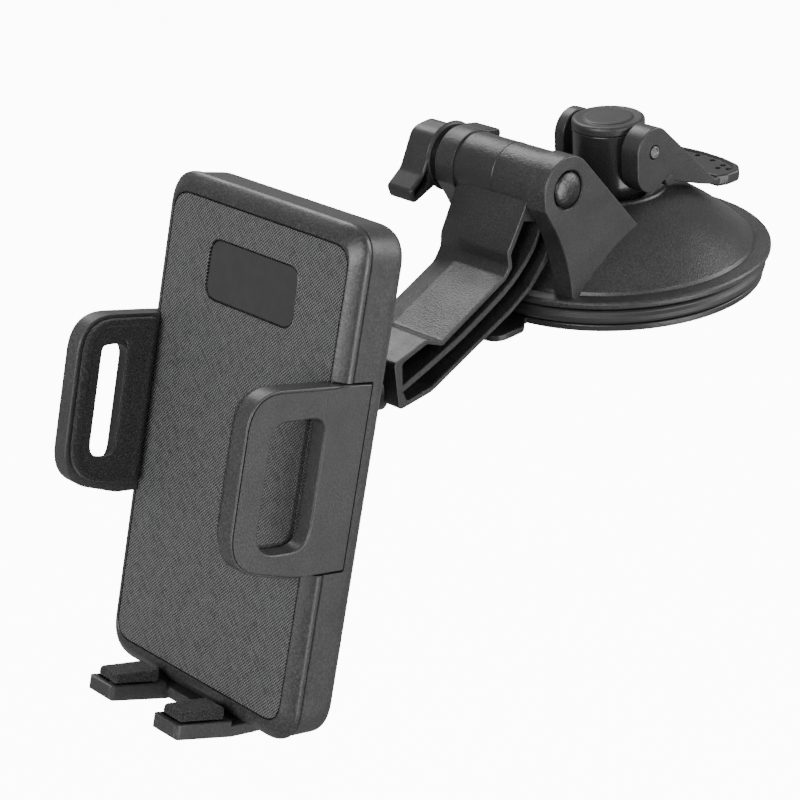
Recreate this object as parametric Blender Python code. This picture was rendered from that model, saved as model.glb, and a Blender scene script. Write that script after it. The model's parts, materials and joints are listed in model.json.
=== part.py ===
"""Suction-mounted phone holder for a car: base, swing arm and spring-clamp cradle.

Frame: +Z up, origin at the centre of the suction face. The X axis is parallel to the arm hinge, and the
cradle hangs out towards -Y. Sizes are in millimetres here and are scaled to metres as each mesh is made.
"""

import math

import bmesh
import bpy
from mathutils import Matrix, Vector

MM = 0.001
GAP = 0.3  # clearance between neighbouring pieces

# Suction base
FLANGE_R = 38.0
FLANGE_LOW = 6.2
FLANGE_TOP = 7.8
CREASE_R = 33.8
COLLAR_R = 13.6
COLLAR_TOP = 22.0
DOME_CURVE = 1.45  # power of the dome's fall from collar to crease
SHELL = 2.2
CUP_R = 36.8
CUP_LOW = 1.9
CUP_TOP = 5.0
GEL_R = 36.2
GEL_THICK = 1.6
TAB_REACH = 48.8
TAB_ROOT = 6.4  # half width where the pull tab leaves the disc
TAB_HALF = 9.2

# Post and locking lever
POST_R = 8.6
POST_LOW = 9.6
POST_TOP = 36.4
CAP_TOP = 38.8
PIN_Z = 32.9
PIN_R = 1.45
LEVER_IN = 8.95
LEVER_OUT = 14.1
LEVER_FAR = 12.0  # the far arm is thinner
LEVER_LOBE_R = 5.8
TAB_TOP = 20.4
TAB_LOW = 17.4
TAB_END = 34.6
TAB_WIDE = 15.0

# Arm hinge
HINGE_Y = -32.4
HINGE_Z = 34.0
EAR_IN = 11.5
EAR_OUT = 17.2
EAR_R = 7.7
KNUCKLE_R = 7.3
ARM_HALF = EAR_IN - GAP
BOLT_R = 2.4
BOLT_HEAD_R = 4.1

# Swing arm, seen from +X: (y, z) of its three ribs from the knuckle to the end plate
ARM_TOP = [(-38.6, 33.0, 1), (-46.2, 21.7, 1.5), (-45.8, 18.3, 1), (-47.6, 16.6, 1.5),
           (-67.3, 8.0, 1.5), (-71.6, 10.0, 1.5), (-81.6, 7.6, 1.5)]
ARM_BOTTOM = [(-81.0, -3.8, 1.5), (-71.0, -2.9, 6), (-58.0, 2.3, 12), (-46.0, 7.0, 12),
              (-38.6, 11.0, 6), (-32.2, 16.8, 6), (-27.6, 24.0, 6), (-25.6, 31.0, 1)]
ARM_MIDDLE = [(-35.0, 25.2), (-37.4, 20.8), (-42.4, 16.2), (-47.4, 13.0), (-54.8, 9.6), (-62.0, 6.6), (-70.0, 3.9),
              (-79.4, 1.0)]
RIB = 1.6
WEB_X = -7.0  # the recesses between the ribs are cut in from +X as far as this

# Ball joint
BALL_R = 7.8
LINER_IN = BALL_R + GAP
LINER_OUT = 8.7
RING_IN = LINER_OUT + GAP
RING_OUT = 9.6
SEAT_R = RING_OUT + GAP
NECK_R = 3.2
COLLAR_OUT = 11.1
NUT_IN = COLLAR_OUT + GAP
NUT_OUT = 13.4

# Cradle: local x right, y up its face, z out of its face, origin on the middle of the face panel
CRADLE_Y = -120.25
CRADLE_Z = -2.35
CRADLE_LEAN = 16.65  # degrees that the face leans back from upright
BALL_UP = 5.4
BALL_BACK = -24.0
STEM_RISE = math.radians(13.7)  # slope of the stem, from the ball up to the arm
FACE_W = 54.2
FACE_H = 100.6
FACE_R = 5.0
BODY_W = 60.8
BODY_H = 109.6
BODY_R = 7.6
SEAM_Z = -3.4
BACK_Z = -14.0
BACK_WALL = 3.0
SIDE_WALL = 2.0
BADGE_W = 28.0
BADGE_LOW = 30.0
BADGE_HIGH = 43.1

# Side clamps
CLAMP_OUT = 30.4
CLAMP_IN = 26.4
CLAMP_LEG_IN = 28.2
CLAMP_LOW = -16.6
CLAMP_HIGH = 23.4
CLAMP_FRONT = 23.2
NOTCH_Z = -9.3
PAD_THICK = 1.5

# Rack and pinion that keep the clamps centred
PINION_Y = 3.4
PITCH_R = 4.5
TEETH = 12
TOOTH_PITCH = 2 * math.pi * PITCH_R / TEETH
RACK_LOW = -8.4
RACK_HIGH = -5.4
PAWL_AT = (-20.0, -15.4)

# Foot
PRONG_IN = 7.0
PRONG_OUT = 15.0
PRONG_FRONT = 16.5


def clear_scene():
    for obj in list(bpy.data.objects):
        bpy.data.objects.remove(obj, do_unlink=True)


def plastic(name, colour, roughness, metallic=0.0):
    material = bpy.data.materials.new(name)
    material.use_nodes = True
    shader = material.node_tree.nodes["Principled BSDF"]
    shader.inputs["Base Color"].default_value = (*colour, 1.0)
    shader.inputs["Roughness"].default_value = roughness
    shader.inputs["Metallic"].default_value = metallic
    return material


def frame(name, location, parent=None, tilt=0.0):
    """An empty at a joint's centre. Its pieces are parented to it, so they share the joint's origin."""
    empty = bpy.data.objects.new(name, None)
    bpy.context.scene.collection.objects.link(empty)
    empty.parent = parent
    empty.location = Vector(location) * MM
    empty.rotation_euler = (tilt, 0.0, 0.0)
    return empty


def make(name, bm, material, parent, smooth=32.0):
    """Turns a mesh in millimetres into an object in metres."""
    bmesh.ops.remove_doubles(bm, verts=bm.verts, dist=0.0005)
    bmesh.ops.recalc_face_normals(bm, faces=bm.faces)
    bm.transform(Matrix.Scale(MM, 4))
    mesh = bpy.data.meshes.new(name)
    bm.to_mesh(mesh)
    bm.free()
    mesh.shade_smooth()
    mesh.set_sharp_from_angle(angle=math.radians(smooth))
    if material:
        mesh.materials.append(material)
    obj = bpy.data.objects.new(name, mesh)
    bpy.context.scene.collection.objects.link(obj)
    obj.parent = parent
    return obj


def combine(target, tool, operation):
    modifier = target.modifiers.new(tool.name, "BOOLEAN")
    modifier.operation = operation
    modifier.object = tool
    modifier.solver = "EXACT"
    tool.hide_render = True
    tool.display_type = "WIRE"


def cut(target, bm, name):
    combine(target, make(name, bm, None, target.parent), "DIFFERENCE")


def weld(target, bm, name):
    combine(target, make(name, bm, None, target.parent), "UNION")


def rounded(corners, steps=5):
    """An outline from (a, b, radius) corners, each replaced by an arc of that radius."""
    outline = []
    count = len(corners)
    for index, (a, b, radius) in enumerate(corners):
        corner = Vector((a, b))
        before = Vector(corners[index - 1][:2]) - corner
        after = Vector(corners[(index + 1) % count][:2]) - corner
        if radius <= 0:
            outline.append((a, b))
            continue
        turn = before.angle(after)
        reach = min(radius / math.tan(turn / 2), 0.49 * before.length, 0.49 * after.length)
        start = corner + before.normalized() * reach
        end = corner + after.normalized() * reach
        for step in range(steps + 1):
            t = step / steps
            point = start * (1 - t) ** 2 + corner * 2 * t * (1 - t) + end * t**2
            outline.append((point.x, point.y))
    return outline


def circle(a, b, radius, steps=32, first=0.0, last=360.0):
    whole = last - first >= 360.0
    count = steps if whole else steps + 1
    angles = [math.radians(first + (last - first) * k / steps) for k in range(count)]
    return [(a + radius * math.cos(t), b + radius * math.sin(t)) for t in angles]


def rectangle(width, height, radius, x=0.0, y=0.0, steps=5):
    half_w = width / 2
    half_h = height / 2
    return rounded([(x + half_w, y + half_h, radius), (x - half_w, y + half_h, radius),
                    (x - half_w, y - half_h, radius), (x + half_w, y - half_h, radius)], steps)


def stack(layers, axis="Z"):
    """A solid skinned over outlines of equal length: [(outline, height along the axis), ...]."""
    place = {"X": lambda a, b, h: (h, a, b), "Y": lambda a, b, h: (a, h, b), "Z": lambda a, b, h: (a, b, h)}[axis]
    bm = bmesh.new()
    rings = [[bm.verts.new(place(a, b, height)) for a, b in outline] for outline, height in layers]
    bm.faces.new(rings[0])
    bm.faces.new(rings[-1])
    for low, high in zip(rings, rings[1:]):
        for k in range(len(low)):
            j = (k + 1) % len(low)
            bm.faces.new((low[k], low[j], high[j], high[k]))
    return bm


def prism(outline, low, high, axis="Z"):
    return stack([(outline, low), (outline, high)], axis)


def box(low, high):
    outline = [(low[0], low[1]), (high[0], low[1]), (high[0], high[1]), (low[0], high[1])]
    return prism(outline, low[2], high[2])


def lathe(profile, axis="Z", steps=32, centre=(0.0, 0.0)):
    """Turns (radius, height) points about an axis. A profile that starts and ends on the axis is a solid,
    and any other profile is closed into a ring."""
    place = {"X": lambda a, b, h: (h, a, b), "Z": lambda a, b, h: (a, b, h)}[axis]
    bm = bmesh.new()
    rings = []
    for radius, height in profile:
        if radius < 1e-6:
            rings.append([bm.verts.new(place(*centre, height))])
            continue
        ring = circle(*centre, radius, steps)
        rings.append([bm.verts.new(place(a, b, height)) for a, b in ring])
    pairs = list(zip(rings, rings[1:]))
    if profile[0][0] > 1e-6:
        pairs.append((rings[-1], rings[0]))
    for low, high in pairs:
        for k in range(steps):
            j = (k + 1) % steps
            face = [low[k % len(low)], low[j % len(low)], high[j % len(high)], high[k % len(high)]]
            corners = list(dict.fromkeys(face))
            if len(corners) > 2:
                bm.faces.new(corners)
    return bm


def dome_height(radius, outer_r, top, low):
    """Height of the dome's surface, which falls from the collar to the crease."""
    along = max(0.0, (radius - COLLAR_R + 1.0) / (outer_r - COLLAR_R + 1.0))
    return top - (top - low) * along**DOME_CURVE


def ball_zone(radius, start, end, steps):
    """Points of a sphere's profile about the ball's centre, between two heights."""
    first = math.asin(start / radius)
    turn = math.asin(end / radius) - first
    angles = [first + turn * k / steps for k in range(steps + 1)]
    return [(radius * math.cos(t), radius * math.sin(t)) for t in angles]


def build_base(base, looks):
    outer = [COLLAR_R - 1.0 + (CREASE_R - COLLAR_R + 1.0) * k / 6 for k in range(1, 7)]
    inner_r = CREASE_R - SHELL
    inner = [COLLAR_R - 2.0 + (inner_r - COLLAR_R + 2.0) * k / 4 for k in range(4, 0, -1)]
    profile = [(POST_R + 0.5, COLLAR_TOP - 1.6), (COLLAR_R - 2.4, COLLAR_TOP - 1.6), (COLLAR_R - 2.0, COLLAR_TOP)]
    profile += [(COLLAR_R - 0.3, COLLAR_TOP)]
    profile += [(r, dome_height(r, CREASE_R, COLLAR_TOP - 0.4, FLANGE_TOP + 0.7)) for r in outer]
    profile += [(CREASE_R + 0.5, FLANGE_TOP), (FLANGE_R - 0.5, FLANGE_TOP), (FLANGE_R, FLANGE_TOP - 0.5)]
    profile += [(FLANGE_R, FLANGE_LOW), (inner_r + 0.6, FLANGE_LOW)]
    profile += [(r, dome_height(r, inner_r, COLLAR_TOP - SHELL - 0.4, FLANGE_TOP - 0.8)) for r in inner]
    profile += [(POST_R + 0.5, COLLAR_TOP - SHELL - 1.4)]
    cover = make("dome_cover", lathe(profile, steps=48), looks["dome"], base)

    ear = circle(HINGE_Y, HINGE_Z, EAR_R, 12, 40.0, 180.0)
    ear += [(-39.6, 31.4), (-37.0, 26.0), (-35.2, 22.6), (-33.5, 17.6), (-32.4, 12.0), (-31.7, 7.0)]
    ear += [(-28.0, 6.9), (-24.0, 11.2), (-18.0, 15.2), (-9.0, 18.4)]
    for side, name in ((1, "ear_right"), (-1, "ear_left")):
        weld(cover, prism(ear, side * EAR_IN, side * EAR_OUT, "X"), name)
    hole = lathe([(0, -EAR_OUT - 1), (BOLT_R + GAP, -EAR_OUT - 1), (BOLT_R + GAP, EAR_OUT - 1.6),
                  (BOLT_HEAD_R + 0.4, EAR_OUT - 1.6), (BOLT_HEAD_R + 0.4, EAR_OUT + 1), (0, EAR_OUT + 1)],
                 "X", 24, (HINGE_Y, HINGE_Z))
    cut(cover, hole, "bolt_hole")

    cup = [(0, CUP_LOW), (CUP_R - 0.6, CUP_LOW), (CUP_R, CUP_LOW + 0.5), (CUP_R, CUP_TOP - 0.6),
           (CUP_R - 0.8, CUP_TOP), (CUP_R - 2.4, CUP_TOP), (CUP_R - 3.0, CUP_TOP + 0.8), (9, CUP_TOP - 0.9),
           (0, CUP_TOP - 0.9)]
    make("suction_cup", lathe(cup, steps=48), looks["rubber"], base)

    side_angle = math.degrees(math.asin(TAB_ROOT / GEL_R))
    tab = circle(0, 0, GEL_R, 40, -90 + side_angle, 270 - side_angle)
    tab += rounded([(-TAB_ROOT, -GEL_R - 0.2, 0), (-TAB_HALF, -39.6, 3), (-TAB_HALF, -TAB_REACH, 7.5),
                    (TAB_HALF, -TAB_REACH, 7.5), (TAB_HALF, -39.6, 3), (TAB_ROOT, -GEL_R - 0.2, 0)])
    make("gel_pad", prism(tab, 0, GEL_THICK), looks["gel"], base)

    bolt = [(0, -25.4), (BOLT_R - 0.4, -25.4), (BOLT_R, -25.0), (BOLT_R, EAR_OUT - 1.3), (BOLT_HEAD_R, EAR_OUT - 1.3)]
    bolt += [(BOLT_HEAD_R * math.cos(t), EAR_OUT - 0.5 + 1.2 * math.sin(t)) for t in (0.0, 0.5, 1.0)]
    bolt += [(0, EAR_OUT + 0.7)]
    make("hinge_bolt", lathe(bolt, "X", 24, (HINGE_Y, HINGE_Z)), looks["bolt"], base)


def build_post(post, looks):
    profile = [(0, POST_LOW), (POST_R + 3.0, POST_LOW), (POST_R + 3.0, POST_LOW + 2.0), (POST_R, POST_LOW + 3.0)]
    profile += [(POST_R, POST_TOP - 0.3), (POST_R - 0.3, POST_TOP), (0, POST_TOP)]
    column = make("hub_post", lathe(profile), looks["post"], post)
    cut(column, lathe([(0, -12), (PIN_R + GAP, -12), (PIN_R + GAP, 12), (0, 12)], "X", 24, (0.0, PIN_Z)), "pin_hole")

    base_z = POST_TOP + GAP
    cap = [(0, base_z), (POST_R, base_z), (POST_R, base_z + 0.9), (POST_R - 0.3, CAP_TOP - 0.4)]
    cap += [(POST_R - 0.9, CAP_TOP), (0, CAP_TOP)]
    make("post_cap", lathe(cap), looks["cap"], post)


def build_lever(lever, looks):
    """Built about the pin, whose axis is the lever's joint axis."""
    drop = TAB_LOW - PIN_Z
    top = TAB_TOP - PIN_Z
    lobe = circle(0, 0, LEVER_LOBE_R, 8, 50, 180)
    foot = circle(-0.6, -4.3, 5.2, 8, 180, 312)
    outline = lobe + foot + [(3.8, -7.8), (8.6, -9.6), (15.6, -12.4), (22.0, -14.2), (24.0, drop), (25.6, drop),
                             (25.6, top), (21.6, top)]
    side = prism(outline, LEVER_IN, LEVER_OUT, "X")
    arms = make("lock_lever", side, looks["lever"], lever)
    weld(arms, prism(outline, -LEVER_FAR, -LEVER_IN, "X"), "lever_far_arm")
    grip = rounded([(-9.4, 23.0, 0), (-7.0, 25.6, 3), (7.0, 25.6, 3), (9.4, 23.0, 0), (LEVER_OUT - 0.4, 23.0, 0),
                    (TAB_WIDE, 25.6, 2), (TAB_WIDE + 0.4, 29.6, 2.5), (TAB_WIDE - 2.2, 32.4, 3),
                    (TAB_WIDE - 8.0, 34.0, 4), (0, TAB_END, 8), (-TAB_WIDE + 8.0, 34.0, 4),
                    (-TAB_WIDE + 2.2, 32.4, 3), (-TAB_WIDE - 0.4, 29.6, 2.5), (-TAB_WIDE, 25.6, 2),
                    (-LEVER_FAR + 0.4, 23.0, 0)])
    weld(arms, prism(grip, drop, top), "lever_grip")
    cut(arms, lathe([(0, -16), (PIN_R + GAP, -16), (PIN_R + GAP, 16), (0, 16)], "X", 24), "lever_pin_hole")

    rivet = [(0.55, -LEVER_FAR - 0.3), (PIN_R, -LEVER_FAR - 0.3), (PIN_R, LEVER_OUT + 0.3), (0.55, LEVER_OUT + 0.3)]
    make("lever_pin", lathe(rivet, "X", 24), looks["steel"], lever)


def build_knob(knob, looks):
    """Built about the hinge axis. Each wing is a leaf that sweeps out from the round boss."""
    inner = -EAR_OUT - GAP
    washer = [(BOLT_R + GAP, inner), (5.6, inner), (5.6, inner - 1.0), (BOLT_R + GAP, inner - 1.0)]
    make("knob_washer", lathe(washer, "X", 24), looks["steel"], knob)

    face = inner - 1.0 - GAP
    boss = [(0, face), (8.2, face), (8.2, face - 1.0), (6.6, face - 1.2), (6.6, face - 7.6), (5.8, face - 8.2),
            (0, face - 8.2)]
    wings = make("wing_knob", lathe(boss, "X"), looks["knob"], knob)
    front = rounded([(3.0, 7.6, 3), (-5.2, 7.0, 4), (-7.6, 2.2, 3.5), (-9.6, -1.6, 4), (-14.2, -4.8, 1.4),
                     (-13.0, -8.2, 1.4), (-6.0, -5.6, 4), (2.0, -4.0, 0)])
    rear = rounded([(-2.0, -6.6, 2), (5.6, -5.4, 5), (9.6, -1.8, 3), (15.6, -1.2, 1.4), (16.4, 2.2, 1.4),
                    (8.0, 3.8, 4), (-2.0, 5.0, 0)])
    pockets = {"front": rounded([(-8.0, -1.0, 1), (-9.8, -3.2, 1), (-12.6, -5.2, 0.6), (-12.2, -6.6, 0.6),
                                 (-8.0, -4.6, 1)]),
               "rear": rounded([(8.0, 2.2, 1), (14.8, 0.9, 0.6), (14.6, -0.2, 0.6), (10.0, -0.6, 1), (8.0, -2.0, 1)])}
    for name, leaf in (("front", front), ("rear", rear)):
        weld(wings, prism(leaf, face - 0.2, face - 8.0, "X"), "wing_" + name)
        cut(wings, prism(pockets[name], face + 1.0, face - 6.4, "X"), "wing_hollow_" + name)
    bore = lathe([(0, face + 1), (BOLT_R + GAP, face + 1), (BOLT_R + GAP, face - 2.6), (4.9, face - 2.6),
                  (4.9, face - 6.9), (0, face - 6.9)], "X", 24)
    cut(wings, bore, "knob_bore")
    nut = prism(circle(0, 0, 4.5, 6), face - 2.9, face - 6.2, "X")
    insert = make("knob_nut", nut, looks["brass"], knob)
    cut(insert, lathe([(0, 0), (BOLT_R + GAP, 0), (BOLT_R + GAP, -40), (0, -40)], "X", 24), "nut_thread")


def shift(points, dy, dz):
    return [(y + dy, z + dz) for y, z in points]


def build_arm(arm, looks):
    """Built about the hinge axis, from outlines given in the frame's own y and z."""
    def local(points):
        return shift(points, -HINGE_Y, -HINGE_Z)

    side = rounded([*ARM_TOP, *ARM_BOTTOM], 4)
    bar = make("arm", prism(local(side), -ARM_HALF, ARM_HALF, "X"), looks["arm"], arm)
    weld(bar, lathe([(0, -ARM_HALF), (KNUCKLE_R, -ARM_HALF), (KNUCKLE_R, ARM_HALF), (0, ARM_HALF)], "X", 32),
         "knuckle")

    half_rib = RIB * 0.6
    under_top = [(-40.6, 27.2), (-44.8, 21.0), (-44.3, 17.9), (-46.6, 15.2), (-67.0, 6.2), (-71.6, 8.2),
                 (-78.8, 6.2)]
    over_middle = shift(ARM_MIDDLE, 0.0, half_rib)
    cut(bar, prism(local([*under_top, *reversed(over_middle)]), WEB_X, ARM_HALF + 1, "X"), "upper_recess")
    under_middle = shift(ARM_MIDDLE, 0.0, -half_rib)
    over_bottom = [(-77.8, -2.3), (-71.4, -1.2), (-58.2, 3.9), (-46.4, 8.6), (-39.6, 12.4), (-33.9, 18.0)]
    cut(bar, prism(local([*under_middle, *over_bottom]), WEB_X, ARM_HALF + 1, "X"), "lower_recess")

    neck_start = math.sqrt(BALL_R**2 - NECK_R**2)
    stem_profile = [(0, -BALL_R)] + ball_zone(BALL_R, -BALL_R, neck_start, 9)[1:]
    stem_profile += [(NECK_R + 0.2, 10.0), (6.6, 13.6), (7.2, 15.4), (0, 15.4)]
    stem = lathe(stem_profile, "Z", 28)
    centre = ball_centre() - Vector((0.0, HINGE_Y, HINGE_Z))
    stem.transform(Matrix.Translation(centre) @ aim(towards_arm()))
    weld(bar, stem, "ball_stem")
    hole = lathe([(0, -20), (BOLT_R + GAP, -20), (BOLT_R + GAP, 20), (0, 20)], "X", 24)
    cut(bar, hole, "arm_bolt_hole")


def cradle_matrix():
    tilt = Matrix.Rotation(math.radians(90.0 - CRADLE_LEAN), 4, "X")
    return Matrix.Translation((0.0, CRADLE_Y, CRADLE_Z)) @ tilt


def ball_centre():
    return cradle_matrix() @ Vector((0.0, BALL_UP, BALL_BACK))


def towards_arm():
    """Direction of the stem, from the ball's centre to the arm."""
    return Vector((0.0, math.cos(STEM_RISE), math.sin(STEM_RISE)))


def aim(direction):
    """The turn that points +Z along a direction."""
    return Vector((0.0, 0.0, 1.0)).rotation_difference(direction).to_matrix().to_4x4()


def build_ball_joint(ball, looks):
    """Nested shells round the ball. The liner snaps over the ball from the far side of the stem, and the rest
    is turned about the cradle's normal."""
    cup = [(0, -LINER_OUT)] + ball_zone(LINER_OUT, -LINER_OUT, 3.0, 7)[1:]
    cup += ball_zone(LINER_IN, 3.0, -LINER_IN, 7)[:-1] + [(0, -LINER_IN)]
    liner = lathe(cup, steps=28)
    liner.transform(aim(cradle_matrix().to_3x3().inverted() @ towards_arm()))
    make("socket_liner", liner, looks["nylon"], ball)

    band = ball_zone(RING_OUT, -0.4, -3.6, 2)
    bore = ball_zone(RING_IN, -3.6, -0.4, 2)
    make("ball_ring", lathe(band + bore, steps=28), looks["nylon"], ball)

    lip = ball_zone(SEAT_R, -4.3, -1.0, 2)
    profile = [(NUT_IN, 8.0), (NUT_OUT, 8.0), (NUT_OUT, -2.6), (NUT_OUT - 1.4, -4.9), (9.4, -4.9)]
    profile += lip + [(NUT_IN, -1.0)]
    ring_nut = make("ring_nut", lathe(profile, steps=36), looks["nut"], ball)
    grips = 12
    for k in range(grips):
        angle = 2 * math.pi * k / grips
        x = (NUT_OUT + 0.7) * math.cos(angle)
        y = (NUT_OUT + 0.7) * math.sin(angle)
        cut(ring_nut, prism(circle(x, y, 1.3, 6), -8.0, 6.0), "nut_grip_%02d" % (k + 1))


def rack_outline():
    """The right clamp's rack: teeth face down towards the pinion, and the bar runs on above them."""
    start = -21.5
    end = 29.0
    pitch_line = PINION_Y + PITCH_R
    root = pitch_line + 1.0
    tip = pitch_line - 0.65
    outline = [(end, root + 3.2), (start, root + 3.2), (start, root)]
    first = math.ceil((start + 1.0) / TOOTH_PITCH - 0.5)
    last = math.floor((CLAMP_LEG_IN - 6.0) / TOOTH_PITCH - 0.5)
    for k in range(first, last + 1):
        middle = (k + 0.5) * TOOTH_PITCH
        outline += [(middle - 0.62, root), (middle - 0.3, tip), (middle + 0.3, tip), (middle + 0.62, root)]
    outline.append((end, root))
    return outline


def build_clamp(name, side, holder, looks):
    """One side clamp. The left one is the right one turned half a turn about the pinion's axis, apart from
    its plate, which keeps the same height on the cradle."""
    def mirrored(points):
        return [(side * a, b) for a, b in points]

    front, slot_low, window_low, window_high, window_back = (
        (CLAMP_FRONT, 2.2, -10.6, 15.2, 2.6) if side > 0 else (CLAMP_FRONT - 2.0, 7.2, -7.6, 18.2, 8.6))
    plate = rounded([(CLAMP_HIGH - 0.2, NOTCH_Z + GAP, 0.5), (CLAMP_HIGH, 2.0, 6), (CLAMP_HIGH, front, 8.5),
                     (CLAMP_LOW + 3.4, front, 10), (CLAMP_LOW, 6.0, 8),
                     (CLAMP_LOW + 0.2, NOTCH_Z + GAP, 0.5)], 6)
    clamp = make(name, prism(plate, side * CLAMP_IN, side * CLAMP_OUT, "X"), looks["clamp"], holder)
    low_x, high_x = sorted((side * (CLAMP_IN - 1), side * CLAMP_LEG_IN))
    cut(clamp, box((low_x, CLAMP_LOW - 5, NOTCH_Z - 2), (high_x, CLAMP_HIGH + 5, 0.35)), name + "_leg_relief")
    slot = rounded([(17.0, slot_low, 4), (16.6, 16.3, 4), (-10.8, 16.3, 6), (-10.8, slot_low, 5)], 5)
    low_x, high_x = sorted((side * (CLAMP_IN - 1), side * (CLAMP_OUT + 1)))
    cut(clamp, prism(slot, low_x, high_x, "X"), name + "_slot")
    rack = rack_outline()
    if side < 0:
        rack = [(-x, 2 * PINION_Y - y) for x, y in rack]
    weld(clamp, prism(rack, RACK_LOW, RACK_HIGH), name + "_rack")

    pad_front = front - 0.9
    pad = rounded([(22.8, 2.3, 1), (22.8, pad_front, 7.5), (-12.2, pad_front, 9), (-14.2, 2.3, 1)], 6)
    inner = CLAMP_IN - GAP
    foam = make("pad_" + name.split("_")[1], prism(pad, side * (inner - PAD_THICK), side * inner, "X"),
                looks["foam"], holder)
    window = rounded([(window_high, window_back, 2.5), (window_high, 15.9, 3), (window_low, 15.9, 4),
                      (window_low, window_back, 3)], 4)
    cut(foam, prism(window, side * (inner - PAD_THICK - 1), side * (inner + 1), "X"), name + "_pad_window")


def build_housing(cradle, looks):
    def body_ring(inset):
        return rectangle(BODY_W - 2 * inset, BODY_H - 2 * inset, BODY_R - 0.6 * inset)

    bezel = make("front_bezel", stack([(body_ring(0), SEAM_Z), (body_ring(0), SEAM_Z + 0.7),
                                       (body_ring(0.5), -1.7), (body_ring(1.5), -0.8),
                                       (body_ring(2.3), -0.15), (body_ring(2.9), 0.1)]), looks["bezel"], cradle)
    cut(bezel, prism(rectangle(FACE_W + 0.5, FACE_H + 0.5, FACE_R), -1.2, 2.0), "face_recess")
    for side, name in ((1, "right"), (-1, "left")):
        low_x, high_x = sorted((side * (CLAMP_LEG_IN - GAP), side * (BODY_W / 2 + 1)))
        cut(bezel, box((low_x, CLAMP_LOW - GAP, SEAM_Z - 1), (high_x, CLAMP_HIGH + GAP, 2)), "bezel_notch_" + name)

    screws = [(x, y) for x in (-22.0, 22.0) for y in (-44.0, 44.0)]
    for index, (x, y) in enumerate(screws):
        weld(bezel, lathe([(0, -10.6), (2.6, -10.6), (2.6, SEAM_Z + 0.5), (0, SEAM_Z + 0.5)], "Z", 14, (x, y)),
             "boss_%d" % (index + 1))
        cut(bezel, lathe([(0, -12), (1.25, -12), (1.25, -4.4), (0, -4.4)], "Z", 12, (x, y)),
            "boss_hole_%d" % (index + 1))

    panel = make("face_panel", prism(rectangle(FACE_W - 0.1, FACE_H - 0.1, FACE_R - 0.3), -0.9, 0.0),
                 looks["face"], cradle)
    badge_y = (BADGE_LOW + BADGE_HIGH) / 2
    badge_h = BADGE_HIGH - BADGE_LOW
    cut(panel, prism(rectangle(BADGE_W, badge_h, 2.8, 0, badge_y), -2, 1), "badge_window")
    make("badge_plate", prism(rectangle(BADGE_W - 0.6, badge_h - 0.6, 2.5, 0, badge_y), -0.9, -0.4),
         looks["badge"], cradle)

    cover = make("rear_cover", stack([(body_ring(0.2), SEAM_Z - GAP), (body_ring(0.2), -10.8),
                                      (body_ring(0.8), -12.4), (body_ring(1.9), -13.5), (body_ring(3.6), BACK_Z)]),
                 looks["cover"], cradle)
    cavity = rectangle(BODY_W - 2 * SIDE_WALL, BODY_H - 2 * SIDE_WALL, BODY_R - SIDE_WALL)
    cut(cover, prism(cavity, BACK_Z + BACK_WALL, 0), "cover_cavity")
    for side, name in ((1, "right"), (-1, "left")):
        low_x, high_x = sorted((side * (CLAMP_LEG_IN - 1), side * (BODY_W / 2 + 1)))
        cut(cover, box((low_x, CLAMP_LOW - GAP, NOTCH_Z), (high_x, CLAMP_HIGH + GAP, 0)), "cover_notch_" + name)
    cut(cover, box((-15.4, -60, -9.4), (15.4, -51, 0)), "foot_slot")
    cut(cover, box((-32, -36.3, -8.7), (-27, -27.7, -5.5)), "button_slot")
    low = BALL_BACK - 0.2
    high = BACK_Z + 1.0
    collar = lathe([(0, low), (COLLAR_OUT, low), (COLLAR_OUT, high), (0, high)], "Z", 36, (0.0, BALL_UP))
    weld(cover, collar, "socket_collar")
    hollow = [(r, BALL_BACK + h) for r, h in ball_zone(SEAT_R, -1.0, SEAT_R, 6)]
    hollow = [(0, BALL_BACK - 1.0)] + hollow[:-1] + [(0, BALL_BACK + SEAT_R)]
    cut(cover, lathe(hollow, "Z", 28, (0.0, BALL_UP)), "socket_seat")
    for index, (x, y) in enumerate(screws):
        bore = [(0, BACK_Z - 1), (2.7, BACK_Z - 1), (2.7, -12.5), (1.5, -12.5), (1.5, -10), (0, -10)]
        cut(cover, lathe(bore, "Z", 14, (x, y)), "screw_bore_%d" % (index + 1))
        screw = [(0, -13.9), (1.8, -13.9), (2.35, -13.5), (2.35, -12.8), (0.95, -12.8), (0.95, -5.0), (0, -4.7)]
        make("cover_screw_%d" % (index + 1), lathe(screw, "Z", 12, (x, y)), looks["steel"], cradle)


def gear_outline():
    outline = []
    step = 2 * math.pi / TEETH
    for k in range(TEETH):
        middle = math.pi / 2 + k * step
        for radius, half in ((PITCH_R - 1.0, 0.21), (PITCH_R, 0.12), (PITCH_R + 0.65, 0.05)):
            outline.append((radius * math.cos(middle - half), radius * math.sin(middle - half)))
        for radius, half in ((PITCH_R + 0.65, 0.05), (PITCH_R, 0.12), (PITCH_R - 1.0, 0.21)):
            outline.append((radius * math.cos(middle + half), radius * math.sin(middle + half)))
    return outline


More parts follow.
